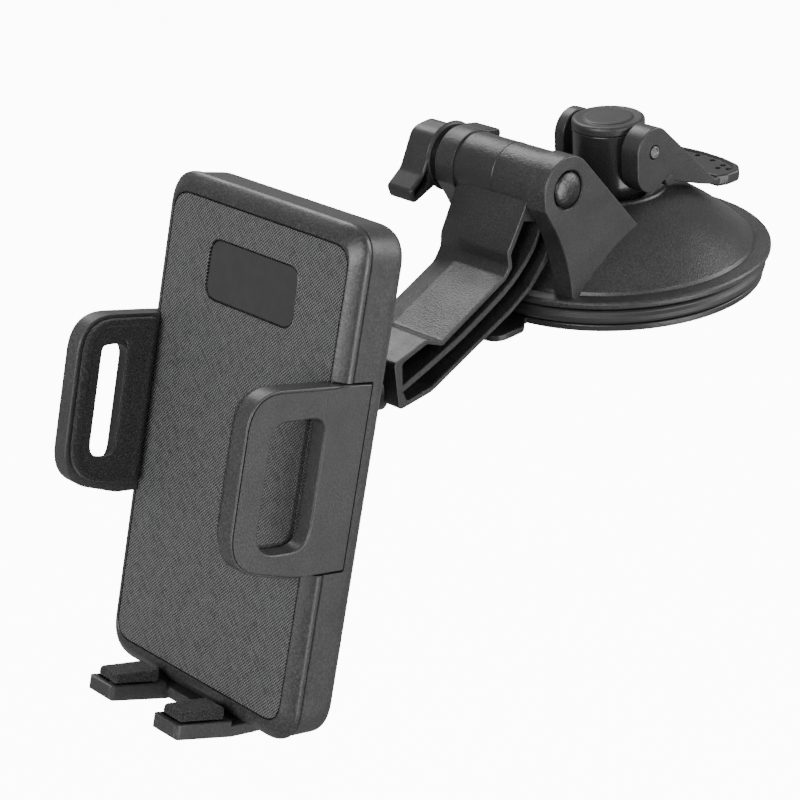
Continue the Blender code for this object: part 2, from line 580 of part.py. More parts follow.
def build_drive(pinion, cradle, button, pawl, looks):
    gear = make("pinion_gear", prism(gear_outline(), RACK_LOW, RACK_HIGH), looks["nylon"], pinion)
    cut(gear, lathe([(0, -12), (1.5, -12), (1.5, 0), (0, 0)], "Z", 24), "pinion_bore")
    axle = [(0, -10.7), (2.4, -10.7), (2.4, -8.7), (1.2, -8.7), (1.2, -4.4), (0, -4.4)]
    make("pinion_axle", lathe(axle, "Z", 24, (0.0, PINION_Y)), looks["steel"], cradle)

    spring = bmesh.new()
    turns = 2.5
    steps = 30
    rings = []
    for k in range(steps + 1):
        angle = 2 * math.pi * turns * k / steps
        radius = 1.9 + 1.7 * k / steps
        out = Vector((math.cos(angle), math.sin(angle)))
        ring = [out * (radius - 0.15), out * (radius + 0.15)]
        rings.append([spring.verts.new((p.x, p.y, z)) for p, z in
                      ((ring[0], -5.1), (ring[1], -5.1), (ring[1], -4.0), (ring[0], -4.0))])
    spring.faces.new(rings[0])
    spring.faces.new(rings[-1])
    for low, high in zip(rings, rings[1:]):
        for k in range(4):
            j = (k + 1) % 4
            spring.faces.new((low[k], low[j], high[j], high[k]))
    make("opening_spring", spring, looks["steel"], pinion)

    push = make("release_button", box((-31.3, -36.0, -8.4), (-22.4, -28.0, -5.8)), looks["button"], button)
    cut(push, box((-33, -36.5, -8.6), (-31.0, -35.0, -5.6)), "button_step_low")
    cut(push, box((-33, -29.0, -8.6), (-31.0, -27.5, -5.6)), "button_step_high")
    lever = rounded([(-1.6, -16.6, 0.5), (1.6, -16.6, 0.5), (1.8, 0, 1), (1.6, 8.8, 0.4), (0.2, 9.7, 0.4),
                     (-1.8, 0, 1)], 3)
    latch = make("latch_pawl", prism(lever, -8.2, -5.8), looks["nylon"], pawl)
    cut(latch, lathe([(0, -12), (1.1, -12), (1.1, 0), (0, 0)], "Z", 20), "pawl_bore")
    make("pawl_pivot", lathe([(0, -10.7), (0.8, -10.7), (0.8, -4.4), (0, -4.4)], "Z", 16, PAWL_AT),
         looks["steel"], cradle)


def build_foot(foot, looks):
    """A bracket on a slide plate. Its two prongs rise a little towards their tips."""
    side = [(-58.0, -6.0), (-58.0, 0.5), (-56.0, PRONG_FRONT), (-52.6, PRONG_FRONT), (-54.2, 0.9), (-55.3, 0.9),
            (-55.3, -6.0)]
    bracket = make("foot_bracket", prism(side, PRONG_IN, PRONG_OUT, "X"), looks["foot"], foot)
    weld(bracket, prism(side, -PRONG_OUT, -PRONG_IN, "X"), "foot_left_prong")
    cross = [(-58.0, -9.0), (-58.0, 0.5), (-55.3, 0.5), (-55.3, -6.3), (-22.0, -6.3), (-22.0, -9.0)]
    weld(bracket, prism(cross, -PRONG_OUT, PRONG_OUT, "X"), "foot_crossbar")
    for side_x, name in ((1, "right"), (-1, "left")):
        middle = side_x * (PRONG_IN + PRONG_OUT) / 2
        corner = rounded([(middle - 5, 30, 0), (middle - 5, PRONG_FRONT - 3, 0), (middle - 4, PRONG_FRONT - 3, 0),
                          (middle - 4, PRONG_FRONT, 2.4), (middle + 4, PRONG_FRONT, 2.4),
                          (middle + 4, PRONG_FRONT - 3, 0), (middle + 5, PRONG_FRONT - 3, 0), (middle + 5, 30, 0)])
        cut(bracket, prism(corner, -62, -48, "Y"), "prong_corners_" + name)
        tray = prism(rectangle(6.8, 12.6, 1.2, middle, 8.5), -54.6, -48, "Y")
        cut(bracket, tray, "prong_tray_" + name)
        pad_rise = [(-54.0, 2.6), (-52.6, 14.4), (-50.6, 14.4), (-51.2, 2.6)]
        make("foot_pad_" + name, prism(pad_rise, middle - 3.1, middle + 3.1, "X"), looks["foam"], foot)


def main():
    clear_scene()
    black = (0.028, 0.028, 0.029)
    looks = {
        "dome": plastic("dome_plastic", black, 0.42),
        "rubber": plastic("cup_rubber", (0.02, 0.02, 0.02), 0.6),
        "gel": plastic("gel_rubber", (0.018, 0.018, 0.018), 0.35),
        "bolt": plastic("bolt_black_zinc", (0.07, 0.07, 0.07), 0.42, 0.8),
        "post": plastic("post_plastic", black, 0.3),
        "cap": plastic("cap_plastic", (0.035, 0.035, 0.036), 0.35),
        "lever": plastic("lever_plastic", black, 0.4),
        "steel": plastic("steel", (0.45, 0.45, 0.46), 0.35, 1.0),
        "brass": plastic("brass", (0.6, 0.45, 0.2), 0.3, 1.0),
        "knob": plastic("knob_plastic", black, 0.42),
        "arm": plastic("arm_plastic", black, 0.42),
        "nylon": plastic("nylon", (0.05, 0.05, 0.05), 0.5),
        "nut": plastic("nut_plastic", black, 0.42),
        "bezel": plastic("bezel_plastic", (0.032, 0.032, 0.033), 0.45),
        "face": plastic("face_panel_weave", (0.03, 0.03, 0.031), 0.55),
        "badge": plastic("badge_gloss", (0.008, 0.008, 0.009), 0.06),
        "cover": plastic("cover_plastic", (0.032, 0.032, 0.033), 0.42),
        "clamp": plastic("clamp_plastic", (0.032, 0.032, 0.033), 0.45),
        "foam": plastic("pad_foam", (0.012, 0.012, 0.012), 0.9),
        "button": plastic("button_plastic", (0.04, 0.04, 0.04), 0.45),
        "foot": plastic("foot_plastic", (0.032, 0.032, 0.033), 0.45),
    }

    base = frame("base_frame", (0, 0, 0))
    build_base(base, looks)
    post = frame("post_frame", (0, 0, 0), base)
    build_post(post, looks)
    build_lever(frame("lever_axis", (0, 0, PIN_Z), post), looks)
    build_knob(frame("knob_axis", (0, HINGE_Y, HINGE_Z), base), looks)
    arm = frame("arm_axis", (0, HINGE_Y, HINGE_Z), base)
    build_arm(arm, looks)

    hinge = Vector((0.0, HINGE_Y, HINGE_Z))
    ball = frame("ball_axis", ball_centre() - hinge, arm, math.radians(90.0 - CRADLE_LEAN))
    build_ball_joint(ball, looks)
    cradle = frame("cradle_frame", (0, -BALL_UP, -BALL_BACK), ball)
    build_housing(cradle, looks)
    build_clamp("clamp_right", 1, cradle, looks)
    build_clamp("clamp_left", -1, cradle, looks)
    pinion = frame("pinion_axis", (0, PINION_Y, 0), cradle)
    pawl = frame("pawl_axis", (*PAWL_AT, 0), cradle)
    build_drive(pinion, cradle, cradle, pawl, looks)
    build_foot(cradle, looks)


main()
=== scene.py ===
"""Looks of the suction phone holder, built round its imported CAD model.

Shapes are drawn in millimetres. The base and the arm are drawn in the model's frame. The cradle's pieces are
drawn in the cradle's own frame: x to the right, y up the face, z out of the face, with the origin on the
middle of the face panel.
"""

import json
import math

import bmesh
import bpy
from mathutils import Matrix, Vector, noise


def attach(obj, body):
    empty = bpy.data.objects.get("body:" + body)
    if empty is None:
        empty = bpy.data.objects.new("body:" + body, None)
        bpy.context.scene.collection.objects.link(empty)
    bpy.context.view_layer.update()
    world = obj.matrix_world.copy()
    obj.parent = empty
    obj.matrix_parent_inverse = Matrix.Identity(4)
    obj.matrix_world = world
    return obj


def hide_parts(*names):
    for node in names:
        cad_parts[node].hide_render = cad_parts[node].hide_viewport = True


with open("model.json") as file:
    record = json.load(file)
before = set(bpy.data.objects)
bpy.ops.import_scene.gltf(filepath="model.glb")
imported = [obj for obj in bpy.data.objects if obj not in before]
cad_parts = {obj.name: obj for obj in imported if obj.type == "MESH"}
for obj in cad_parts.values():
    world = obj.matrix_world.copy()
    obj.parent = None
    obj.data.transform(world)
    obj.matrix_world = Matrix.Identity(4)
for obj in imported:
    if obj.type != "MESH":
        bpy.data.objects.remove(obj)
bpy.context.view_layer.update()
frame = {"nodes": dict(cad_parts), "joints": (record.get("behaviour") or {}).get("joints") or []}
JOINTS = {joint["name"]: joint for joint in frame["joints"]}

MM = 0.001
GAP = 0.3
OVERCUT = 1.0
ROUND_STEPS = 4

# Base
FLANGE_R = 38.0
FLANGE_LOW = 6.2
FLANGE_TOP = 7.8
CREASE_R = 33.8
CREASE_TOP = 8.6
COLLAR_R = 13.6
COLLAR_TOP = 22.0
BELL_R = COLLAR_R - 1.0
DISH_Z = 20.4
DOME_CURVE = 1.45
CUP_R = 36.8
CUP_LOW = 1.9
GEL_R = 36.2
GEL_TOP = 1.6
TAB_ROOT = 6.4
TAB_HALF = 9.2
TAB_REACH = 48.8
POST_R = 8.6
POST_TOP = 36.4
CAP_TOP = 38.8
PIN_HOLE_R = 1.75
PIN = Vector(JOINTS["lever_turn"]["pos_m"]) / MM
HINGE = Vector(JOINTS["arm_hinge"]["pos_m"]) / MM
EAR_IN = 11.5
EAR_OUT = 17.2
EAR_R = 7.7
WASHER = 1.0
BOLT_R = 2.4
BOLT_END = -25.4
BOLT_HEAD_R = 4.1
LEVER_IN = 8.95
LEVER_OUT = 14.1
LEVER_FAR = 12.0
RIVET_PROUD = 0.3

# Arm
ARM_HALF = EAR_IN - GAP
KNUCKLE_R = 7.3
RIDGE_X = -4.0
WEB_X = -7.0
RIB_HALF = 0.8
BALL_R = 7.8

# Cradle
BALL = Vector(JOINTS["ball_tilt"]["pos_m"]) / MM
NORMAL = Vector(JOINTS["cradle_turn"]["axis"])
STEM = Vector(JOINTS["ball_swivel"]["axis"])
BALL_UP = 5.4
BALL_BACK = -24.0
SOCKET_R = 9.9
FACE_W = 54.2
FACE_H = 100.6
FACE_R = 5.0
BODY_W = 60.8
BODY_H = 109.6
BODY_R = 7.6
SEAM_Z = -3.4
BACK_Z = -14.0
CLAMP_OUT = 30.4
CLAMP_IN = 26.4
CLAMP_LEG_IN = 28.2
CLAMP_LOW = -16.6
CLAMP_HIGH = 23.4
CLAMP_FRONT = 23.2
NOTCH_Z = -9.3
PAD_THICK = 1.5
PINION_Y = 3.4
PITCH_R = 4.5
TOOTH_PITCH = 2 * math.pi * PITCH_R / 12
RACK_LOW = -8.4
RACK_HIGH = -5.4
TOOTH_DEPTH = 1.65
WINDOW_Y = 36.55
SCREW_HEAD_R = 2.35
FOOT_X = 11.0
SCREWS_AT = [(x, y) for x in (-22.0, 22.0) for y in (-44.0, 44.0)]

MODEL = Matrix.Identity(4)
UP = NORMAL.cross(Vector((1.0, 0.0, 0.0)))
CRADLE_ORIGIN = BALL - UP * BALL_UP - NORMAL * BALL_BACK
CRADLE = Matrix.Translation(CRADLE_ORIGIN) @ Matrix((
    (1.0, UP.x, NORMAL.x, 0.0), (0.0, UP.y, NORMAL.y, 0.0), (0.0, UP.z, NORMAL.z, 0.0), (0.0, 0.0, 0.0, 1.0)))


# -------------------- outlines

def rounded(corners, steps=8):
    """An outline from (a, b, radius) corners, each replaced by a curve of about that radius."""
    outline = []
    count = len(corners)
    for index, (a, b, radius) in enumerate(corners):
        corner = Vector((a, b))
        before = Vector(corners[index - 1][:2]) - corner
        after = Vector(corners[(index + 1) % count][:2]) - corner
        if radius <= 0:
            outline.append((a, b))
            continue
        turn = before.angle(after)
        reach = min(radius / math.tan(turn / 2), 0.49 * before.length, 0.49 * after.length)
        start = corner + before.normalized() * reach
        end = corner + after.normalized() * reach
        for step in range(steps + 1):
            t = step / steps
            point = start * (1 - t) ** 2 + corner * 2 * t * (1 - t) + end * t**2
            outline.append((point.x, point.y))
    return outline


def circle(a, b, radius, steps, first=0.0, last=360.0):
    """A whole circle, or the arc between two angles in degrees."""
    whole = last - first >= 360.0
    count = steps if whole else steps + 1
    angles = [math.radians(first + (last - first) * k / steps) for k in range(count)]
    return [(a + radius * math.cos(t), b + radius * math.sin(t)) for t in angles]


def rectangle(width, height, radius, x=0.0, y=0.0, steps=10):
    half_w = width / 2
    half_h = height / 2
    return rounded([(x + half_w, y + half_h, radius), (x - half_w, y + half_h, radius),
                    (x - half_w, y - half_h, radius), (x + half_w, y - half_h, radius)], steps)


def spline(points, steps=6):
    """A smooth open curve through the points."""
    ends = [points[0], *points, points[-1]]
    curve = []
    for k in range(1, len(ends) - 2):
        p0, p1, p2, p3 = (Vector(p) for p in ends[k - 1:k + 3])
        for step in range(steps):
            t = step / steps
            curve.append((0.5 * (2 * p1 + (p2 - p0) * t + (2 * p0 - 5 * p1 + 4 * p2 - p3) * t**2
                                 + (3 * p1 - p0 - 3 * p2 + p3) * t**3)).to_tuple())
    curve.append(tuple(points[-1]))
    return curve


def mirrored(corners):
    """The same (a, b, radius) corners on the other side, in the opposite order."""
    return [(-a, b, radius) for a, b, radius in reversed(corners)]


def evenly(first, last, count):
    """Evenly spaced values from just after first up to last."""
    return [first + (last - first) * k / count for k in range(1, count + 1)]


def quarter_round():
    """Pairs of shares of a radius along a rounded edge: how far in, and how far along."""
    angles = [math.pi / 2 * k / ROUND_STEPS for k in range(ROUND_STEPS + 1)]
    return [(1 - math.sin(t), 1 - math.cos(t)) for t in angles]


def inset(outline, distance):
    """The outline moved inwards, or outwards for a negative distance."""
    count = len(outline)
    area = sum(outline[k - 1][0] * outline[k][1] - outline[k][0] * outline[k - 1][1] for k in range(count))
    inward = 1.0 if area > 0 else -1.0
    moved = []
    for k in range(count):
        here = Vector(outline[k])
        before = here - Vector(outline[k - 1])
        after = Vector(outline[(k + 1) % count]) - here
        if before.length < 1e-9:
            before = after
        if after.length < 1e-9:
            after = before
        before.normalize()
        after.normalize()
        middle = Vector((-before.y - after.y, before.x + after.x))
        if middle.length < 1e-6:
            middle = Vector((-before.y, before.x))
        middle.normalize()
        slope = max(0.35, middle.dot(Vector((-before.y, before.x))))
        moved.append((here + middle * (inward * distance / slope)).to_tuple())
    return moved


# -------------------- solids

PLACES = {"X": lambda a, b, h: (h, a, b), "Y": lambda a, b, h: (a, h, b), "Z": lambda a, b, h: (a, b, h)}


def stack(layers, axis="Z"):
    """A solid skinned over outlines of equal length: [(outline, height along the axis), ...]."""
    place = PLACES[axis]
    bm = bmesh.new()
    rings = [[bm.verts.new(place(a, b, height)) for a, b in outline] for outline, height in layers]
    bm.verts.index_update()
    bm.faces.new(rings[0])
    bm.faces.new(rings[-1])
    for low, high in zip(rings, rings[1:]):
        for k in range(len(low)):
            j = (k + 1) % len(low)
            bm.faces.new((low[k], low[j], high[j], high[k]))
    return bm


def slab(outline, low, high, soft, axis="Z", soft_low=None):
    """A plate with rounded edges of radius soft at its high face, and soft_low at its low face."""
    if low > high:
        low, high = high, low
        soft, soft_low = (soft if soft_low is None else soft_low), soft
    soft_low = soft if soft_low is None else soft_low
    edge = quarter_round()
    layers = [(inset(outline, soft_low * inward), low + soft_low * along) for inward, along in edge]
    layers += [(inset(outline, soft * inward), high - soft * along) for inward, along in reversed(edge)]
    return stack(layers, axis)


def flared(outline, low, high, soft, axis):
    """A cutter for a hole through a plate from low to high, which leaves both its rims rounded."""
    sliver = 0.01
    low, high = min(low, high), max(low, high)
    edge = quarter_round()
    layers = [(inset(outline, -soft), low - OVERCUT)]
    for inward, along in edge:
        layers.append((inset(outline, -soft * inward), low - sliver + soft * along))
    for inward, along in reversed(edge):
        layers.append((inset(outline, -soft * inward), high + sliver - soft * along))
    layers.append((inset(outline, -soft), high + OVERCUT))
    return stack(layers, axis)


def prism(outline, low, high, axis="Z"):
    return stack([(outline, low), (outline, high)], axis)


def groove(outline, depth_in, width, low, high, axis):
    """A ring-shaped cutter that follows an outline, depth_in inside it."""
    place = PLACES[axis]
    bm = bmesh.new()
    rings = []
    inner = depth_in + width
    for distance, height in ((depth_in, low), (depth_in, high), (inner, high), (inner, low)):
        rings.append([bm.verts.new(place(a, b, height)) for a, b in inset(outline, distance)])
    for index, first in enumerate(rings):
        second = rings[(index + 1) % 4]
        for k in range(len(first)):
            j = (k + 1) % len(first)
            bm.faces.new((first[k], first[j], second[j], second[k]))
    return bm


def box(low, high):
    """A block between two opposite corners."""
    outline = [(low[0], low[1]), (high[0], low[1]), (high[0], high[1]), (low[0], high[1])]
    return prism(outline, low[2], high[2])


def lathe(profile, axis, steps, centre=(0.0, 0.0)):
    """Turns (radius, height) points about an axis. A profile that starts and ends on the axis is a solid,
    and any other profile is closed into a ring."""
    place = PLACES[axis]
    bm = bmesh.new()
    rings = []
    for radius, height in profile:
        if radius < 1e-6:
            rings.append([bm.verts.new(place(*centre, height))])
            continue
        rings.append([bm.verts.new(place(a, b, height)) for a, b in circle(*centre, radius, steps)])
    pairs = list(zip(rings, rings[1:]))
    if profile[0][0] > 1e-6:
        pairs.append((rings[-1], rings[0]))
    for low, high in pairs:
        for k in range(steps):
            j = (k + 1) % steps
            corners = [low[k % len(low)], low[j % len(low)], high[j % len(high)], high[k % len(high)]]
            corners = list(dict.fromkeys(corners))
            if len(corners) > 2:
                bm.faces.new(corners)
    return bm


def rod(radius, low, high, axis, steps, centre=(0.0, 0.0)):
    """A plain cylinder."""
    return lathe([(0, low), (radius, low), (radius, high), (0, high)], axis, steps, centre)


def soften(profile, radius=0.3, steps=3):
    """A turned profile with its inner corners rounded."""
    corners = [(a, b, radius if 0 < k < len(profile) - 1 and a > 1e-6 else 0)
               for k, (a, b) in enumerate(profile)]
    return rounded(corners, steps)


def body(bm, name):
    """A mesh object in millimetres, still to be finished."""
    bmesh.ops.remove_doubles(bm, verts=bm.verts, dist=0.0005)
    bmesh.ops.recalc_face_normals(bm, faces=bm.faces)
    mesh = bpy.data.meshes.new(name)
    bm.to_mesh(mesh)
    bm.free()
    obj = bpy.data.objects.new(name, mesh)
    bpy.context.scene.collection.objects.link(obj)
    return obj


def apply_modifiers(obj):
    """Replaces the object's mesh by what its modifiers make of it."""
    bpy.context.view_layer.update()
    evaluated = obj.evaluated_get(bpy.context.evaluated_depsgraph_get())
    mesh = bpy.data.meshes.new_from_object(evaluated)
    obj.modifiers.clear()
    old = obj.data
    obj.data = mesh
    bpy.data.meshes.remove(old)


def combine(target, bm, operation):
    tool = body(bm, target.name + "_tool")
    modifier = target.modifiers.new("combine", "BOOLEAN")
    modifier.operation = operation
    modifier.object = tool
    modifier.solver = "EXACT"
    apply_modifiers(target)
    mesh = tool.data
    bpy.data.objects.remove(tool)
    bpy.data.meshes.remove(mesh)


def cut(target, *tools):
    for tool in tools:
        combine(target, tool, "DIFFERENCE")


def weld(target, *tools):
    for tool in tools:
        combine(target, tool, "UNION")


def finish_piece(obj, place, rides_on, material, replaced, smooth=34.0):
    """Puts a piece in its place in metres, shades it, gives it its material, parents it to its body's empty
    and hides the parts it replaces.
    """
    obj.data.transform(Matrix.Scale(MM, 4) @ place)
    obj.data.shade_smooth()
    obj.data.set_sharp_from_angle(angle=math.radians(smooth))
    weights = obj.modifiers.new("weighted_normals", "WEIGHTED_NORMAL")
    weights.keep_sharp = True
    obj.data.materials.clear()
    obj.data.materials.append(material)
    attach(obj, rides_on)
    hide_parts(*replaced)


# -------------------- materials

def grey(level, blue=None):
    """A grey colour, or a slightly cool one with its own value for blue."""
    return (level, level, level if blue is None else blue)


def node_material(name):
    material = bpy.data.materials.new(name)
    material.use_nodes = True
    nodes = material.node_tree.nodes
    shader = nodes["Principled BSDF"]
    return material, material.node_tree.links, nodes, shader


def add_noise(nodes, links, scale, detail=2.0, source=None):
    texture = nodes.new("ShaderNodeTexNoise")
    texture.inputs["Scale"].default_value = scale
    texture.inputs["Detail"].default_value = detail
    if source is None:
        coordinates = nodes.new("ShaderNodeTexCoord")
        source = coordinates.outputs["Object"]
    links.new(source, texture.inputs["Vector"])
    return texture.outputs["Fac"]


def remap(nodes, links, value, low, high, from_low=0.0, from_high=1.0):
    node = nodes.new("ShaderNodeMapRange")
    node.inputs["From Min"].default_value = from_low
    node.inputs["From Max"].default_value = from_high
    node.inputs["To Min"].default_value = low
    node.inputs["To Max"].default_value = high
    links.new(value, node.inputs["Value"])
    return node.outputs["Result"]


def blend_colours(nodes, links, factor, first, second):
    node = nodes.new("ShaderNodeMix")
    node.data_type = "RGBA"
    node.inputs["A"].default_value = (*first, 1.0)
    node.inputs["B"].default_value = (*second, 1.0)
    links.new(factor, node.inputs["Factor"])
    return node.outputs["Result"]


def add_bump(nodes, links, height, shader, distance, below=None):
    """Turns a height into bumps up to distance deep, on top of the bumps below."""
    bump = nodes.new("ShaderNodeBump")
    bump.inputs["Strength"].default_value = 1.0
    bump.inputs["Distance"].default_value = distance
    links.new(height, bump.inputs["Height"])
    if below is not None:
        links.new(below, bump.inputs["Normal"])
    if shader is not None:
        links.new(bump.outputs["Normal"], shader.inputs["Normal"])
    return bump.outputs["Normal"]


def multiply(nodes, links, first, second):
    node = nodes.new("ShaderNodeMath")
    node.operation = "MULTIPLY"
    links.new(first, node.inputs[0])
    links.new(second, node.inputs[1])
    return node.outputs[0]


def moulded(name, dark, light, rough, grain, depth):
    """Moulded plastic: spark-eroded grain, slightly uneven gloss, faint random variation in tone, and lighter
    specks painted in as glints.
    """
    material, links, nodes, shader = node_material(name)
    patches = add_noise(nodes, links, scale=60.0, detail=3.0)
    # Lighter specks in the colour are painted glints that stand in for the grain's sparkle; the broad patches
    # are random tone
    glint_specks = add_noise(nodes, links, scale=grain * 1.3, detail=1.0)
    factor = multiply(nodes, links,
                      remap(nodes, links, patches, low=0.25, high=1.0, from_low=0.3, from_high=0.7),
                      remap(nodes, links, glint_specks, low=0.0, high=1.0, from_low=0.4, from_high=0.7))
    links.new(blend_colours(nodes, links, factor, dark, light), shader.inputs["Base Color"])
    wear = add_noise(nodes, links, scale=190.0, detail=4.0)
    links.new(remap(nodes, links, wear, *rough, from_low=0.3, from_high=0.7), shader.inputs["Roughness"])
    lumps = add_noise(nodes, links, scale=grain * 0.45, detail=1.0)
    coarse = add_bump(nodes, links, lumps, None, depth * 0.35)
    add_bump(nodes, links, add_noise(nodes, links, scale=grain, detail=3.0), shader, depth, coarse)
    return material


def rubbery(name, dark, light, rough, grain, depth):
    """Rubber or nylon: an even colour with a soft, patchy sheen."""
    material, links, nodes, shader = node_material(name)
    tone = add_noise(nodes, links, scale=90.0, detail=3.0)
    links.new(blend_colours(nodes, links, tone, dark, light), shader.inputs["Base Color"])
    wear = add_noise(nodes, links, scale=240.0, detail=3.0)
    links.new(remap(nodes, links, wear, *rough), shader.inputs["Roughness"])
    add_bump(nodes, links, add_noise(nodes, links, scale=grain, detail=2.0), shader, depth)
    return material


def foam_look(name):
    """Fine-celled black foam: tiny open cells under a matt skin."""
    material, links, nodes, shader = node_material(name)
    coordinates = nodes.new("ShaderNodeTexCoord")
    cells = nodes.new("ShaderNodeTexVoronoi")
    cells.inputs["Scale"].default_value = 2300.0
    links.new(coordinates.outputs["Object"], cells.inputs["Vector"])
    rims = remap(nodes, links, cells.outputs["Distance"], low=0.0, high=1.0, from_low=0.25, from_high=0.75)
    fine = add_noise(nodes, links, scale=2900.0, detail=2.0)
    flecks = remap(nodes, links, fine, low=0.1, high=1.0, from_low=0.35, from_high=0.7)
    tone = multiply(nodes, links, rims, flecks)
    colour = blend_colours(nodes, links, tone, grey(0.003), grey(0.036, 0.037))
    links.new(colour, shader.inputs["Base Color"])
    shader.inputs["Roughness"].default_value = 0.95
    shader.inputs["Specular IOR Level"].default_value = 0.25
    shader.inputs["Sheen Weight"].default_value = 0.15
    shader.inputs["Sheen Roughness"].default_value = 0.6
    below = add_bump(nodes, links, rims, None, distance=0.00012)
    add_bump(nodes, links, fine, shader, distance=0.00006, below=below)
    return material


def metal(name, colour, rough, grain, depth):
    """Bare or plated metal with a fine, slightly patchy surface."""
    material, links, nodes, shader = node_material(name)
    darker = tuple(0.6 * c for c in colour)
    tone = add_noise(nodes, links, scale=grain * 0.4, detail=3.0)
    links.new(blend_colours(nodes, links, tone, darker, colour), shader.inputs["Base Color"])
    shader.inputs["Metallic"].default_value = 1.0
    wear = add_noise(nodes, links, scale=grain, detail=3.0)
    links.new(remap(nodes, links, wear, *rough), shader.inputs["Roughness"])
    add_bump(nodes, links, add_noise(nodes, links, scale=grain, detail=2.0), shader, depth)
    return material


def weave_look(name):
    """Cross-hatched panel: two families of fine diagonal ridges with uneven threads."""
    material, links, nodes, shader = node_material(name)
    coordinates = nodes.new("ShaderNodeTexCoord")
    lean = math.atan2(NORMAL.z, -NORMAL.y)
    turn = nodes.new("ShaderNodeMapping")
    turn.vector_type = "POINT"
    turn.inputs["Rotation"].default_value = (lean - math.pi / 2, 0.0, 0.0)
    links.new(coordinates.outputs["Object"], turn.inputs["Vector"])
    split = nodes.new("ShaderNodeSeparateXYZ")
    links.new(turn.outputs["Vector"], split.inputs["Vector"])

    def arithmetic(operation, first, second=None):
        node = nodes.new("ShaderNodeMath")
        node.operation = operation
        for socket, value in zip(node.inputs, (first, second)):
            if value is None:
                continue
            if isinstance(value, (int, float)):
                socket.default_value = value
            else:
                links.new(value, socket)
        return node.outputs[0]

    def threads(sign, share):
        """Ridges across one diagonal, each broken up along its length."""
        diagonal = arithmetic("ADD", split.outputs["X"], arithmetic("MULTIPLY", split.outputs["Y"], sign))
        across = arithmetic("MULTIPLY", diagonal, 0.7071 * 2 * math.pi / pitch)
        wander = add_noise(nodes, links, scale=420.0, detail=2.0, source=turn.outputs["Vector"])
        wave = arithmetic("SINE", arithmetic("ADD", across, arithmetic("MULTIPLY", wander, 0.8)))
        along = arithmetic("SUBTRACT", split.outputs["X"], arithmetic("MULTIPLY", split.outputs["Y"], sign))
        stretched = nodes.new("ShaderNodeCombineXYZ")
        links.new(arithmetic("MULTIPLY", across, pitch / (2 * math.pi)), stretched.inputs["X"])
        links.new(arithmetic("MULTIPLY", along, 0.12), stretched.inputs["Y"])
        uneven = add_noise(nodes, links, scale=1500.0, detail=1.0, source=stretched.outputs["Vector"])
        ridge = remap(nodes, links, wave, low=0.0, high=1.0, from_low=-0.55, from_high=1.0)
        patches = remap(nodes, links, uneven, low=0.35, high=1.2, from_low=0.32, from_high=0.68)
        return arithmetic("MULTIPLY", arithmetic("MULTIPLY", ridge, share), patches)

    pitch = 0.00054
    height = arithmetic("ADD", threads(sign=-1.0, share=1.0), threads(sign=1.0, share=0.6))
    colour = blend_colours(nodes, links, height, grey(0.004, 0.0042), grey(0.145, 0.147))
    links.new(colour, shader.inputs["Base Color"])
    links.new(remap(nodes, links, height, low=0.62, high=0.42), shader.inputs["Roughness"])
    add_bump(nodes, links, height, shader, distance=0.00016)
    return material


# Each look has its material's name, its dark and light colours (one for a metal), its least and most
# roughness, its grain's fineness and its grain's depth in metres.
LOOKS = {
    "dome": moulded("dome_plastic", grey(0.018), grey(0.06, 0.061), (0.3, 0.4), 2600.0, 0.0001),
    "arm": moulded("arm_plastic", grey(0.018), grey(0.055, 0.056), (0.28, 0.38), 2600.0, 0.0001),
    "post": moulded("post_plastic", grey(0.016), grey(0.03, 0.031), (0.16, 0.24), 2400.0, 0.00001),
    "knob": moulded("knob_plastic", grey(0.02), grey(0.04, 0.041), (0.34, 0.46), 2200.0, 0.00002),
    "case": moulded("case_plastic", grey(0.026, 0.027), grey(0.06, 0.061), (0.36, 0.5), 1900.0, 0.00003),
    "bezel": moulded("bezel_plastic", grey(0.02), grey(0.055, 0.056), (0.3, 0.42), 1700.0, 0.00004),
    "badge": moulded("badge_gloss", grey(0.03, 0.0305), grey(0.034, 0.0345), (0.11, 0.13), 300.0, 0.000001),
    "cup": rubbery("cup_rubber", grey(0.012), grey(0.028), (0.4, 0.6), 900.0, 0.00003),
    "gel": rubbery("gel_rubber", grey(0.01), grey(0.03), (0.22, 0.45), 1400.0, 0.00006),
    "nylon": rubbery("nylon_plastic", grey(0.03), grey(0.06), (0.4, 0.55), 1500.0, 0.00002),
    "bolt": metal("black_zinc", grey(0.09, 0.091), (0.24, 0.5), 1800.0, 0.00012),
    "rivet": metal("rivet_steel", grey(0.3, 0.305), (0.34, 0.5), 900.0, 0.00003),
    "steel": metal("zinc_steel", grey(0.6, 0.61), (0.22, 0.4), 900.0, 0.00002),
    "brass": metal("turned_brass", (0.72, 0.55, 0.26), (0.22, 0.4), 900.0, 0.00002),
    "weave": weave_look("panel_weave"),
    "foam": foam_look("pad_foam"),
}


# -------------------- base pieces

def bell_height(radius, outer_r, top, low):
    """Height of the bell at a radius, falling from top at the collar to low at outer_r."""
    along = max(0.0, (radius - BELL_R) / (outer_r - BELL_R))
    return top - (top - low) * along**DOME_CURVE


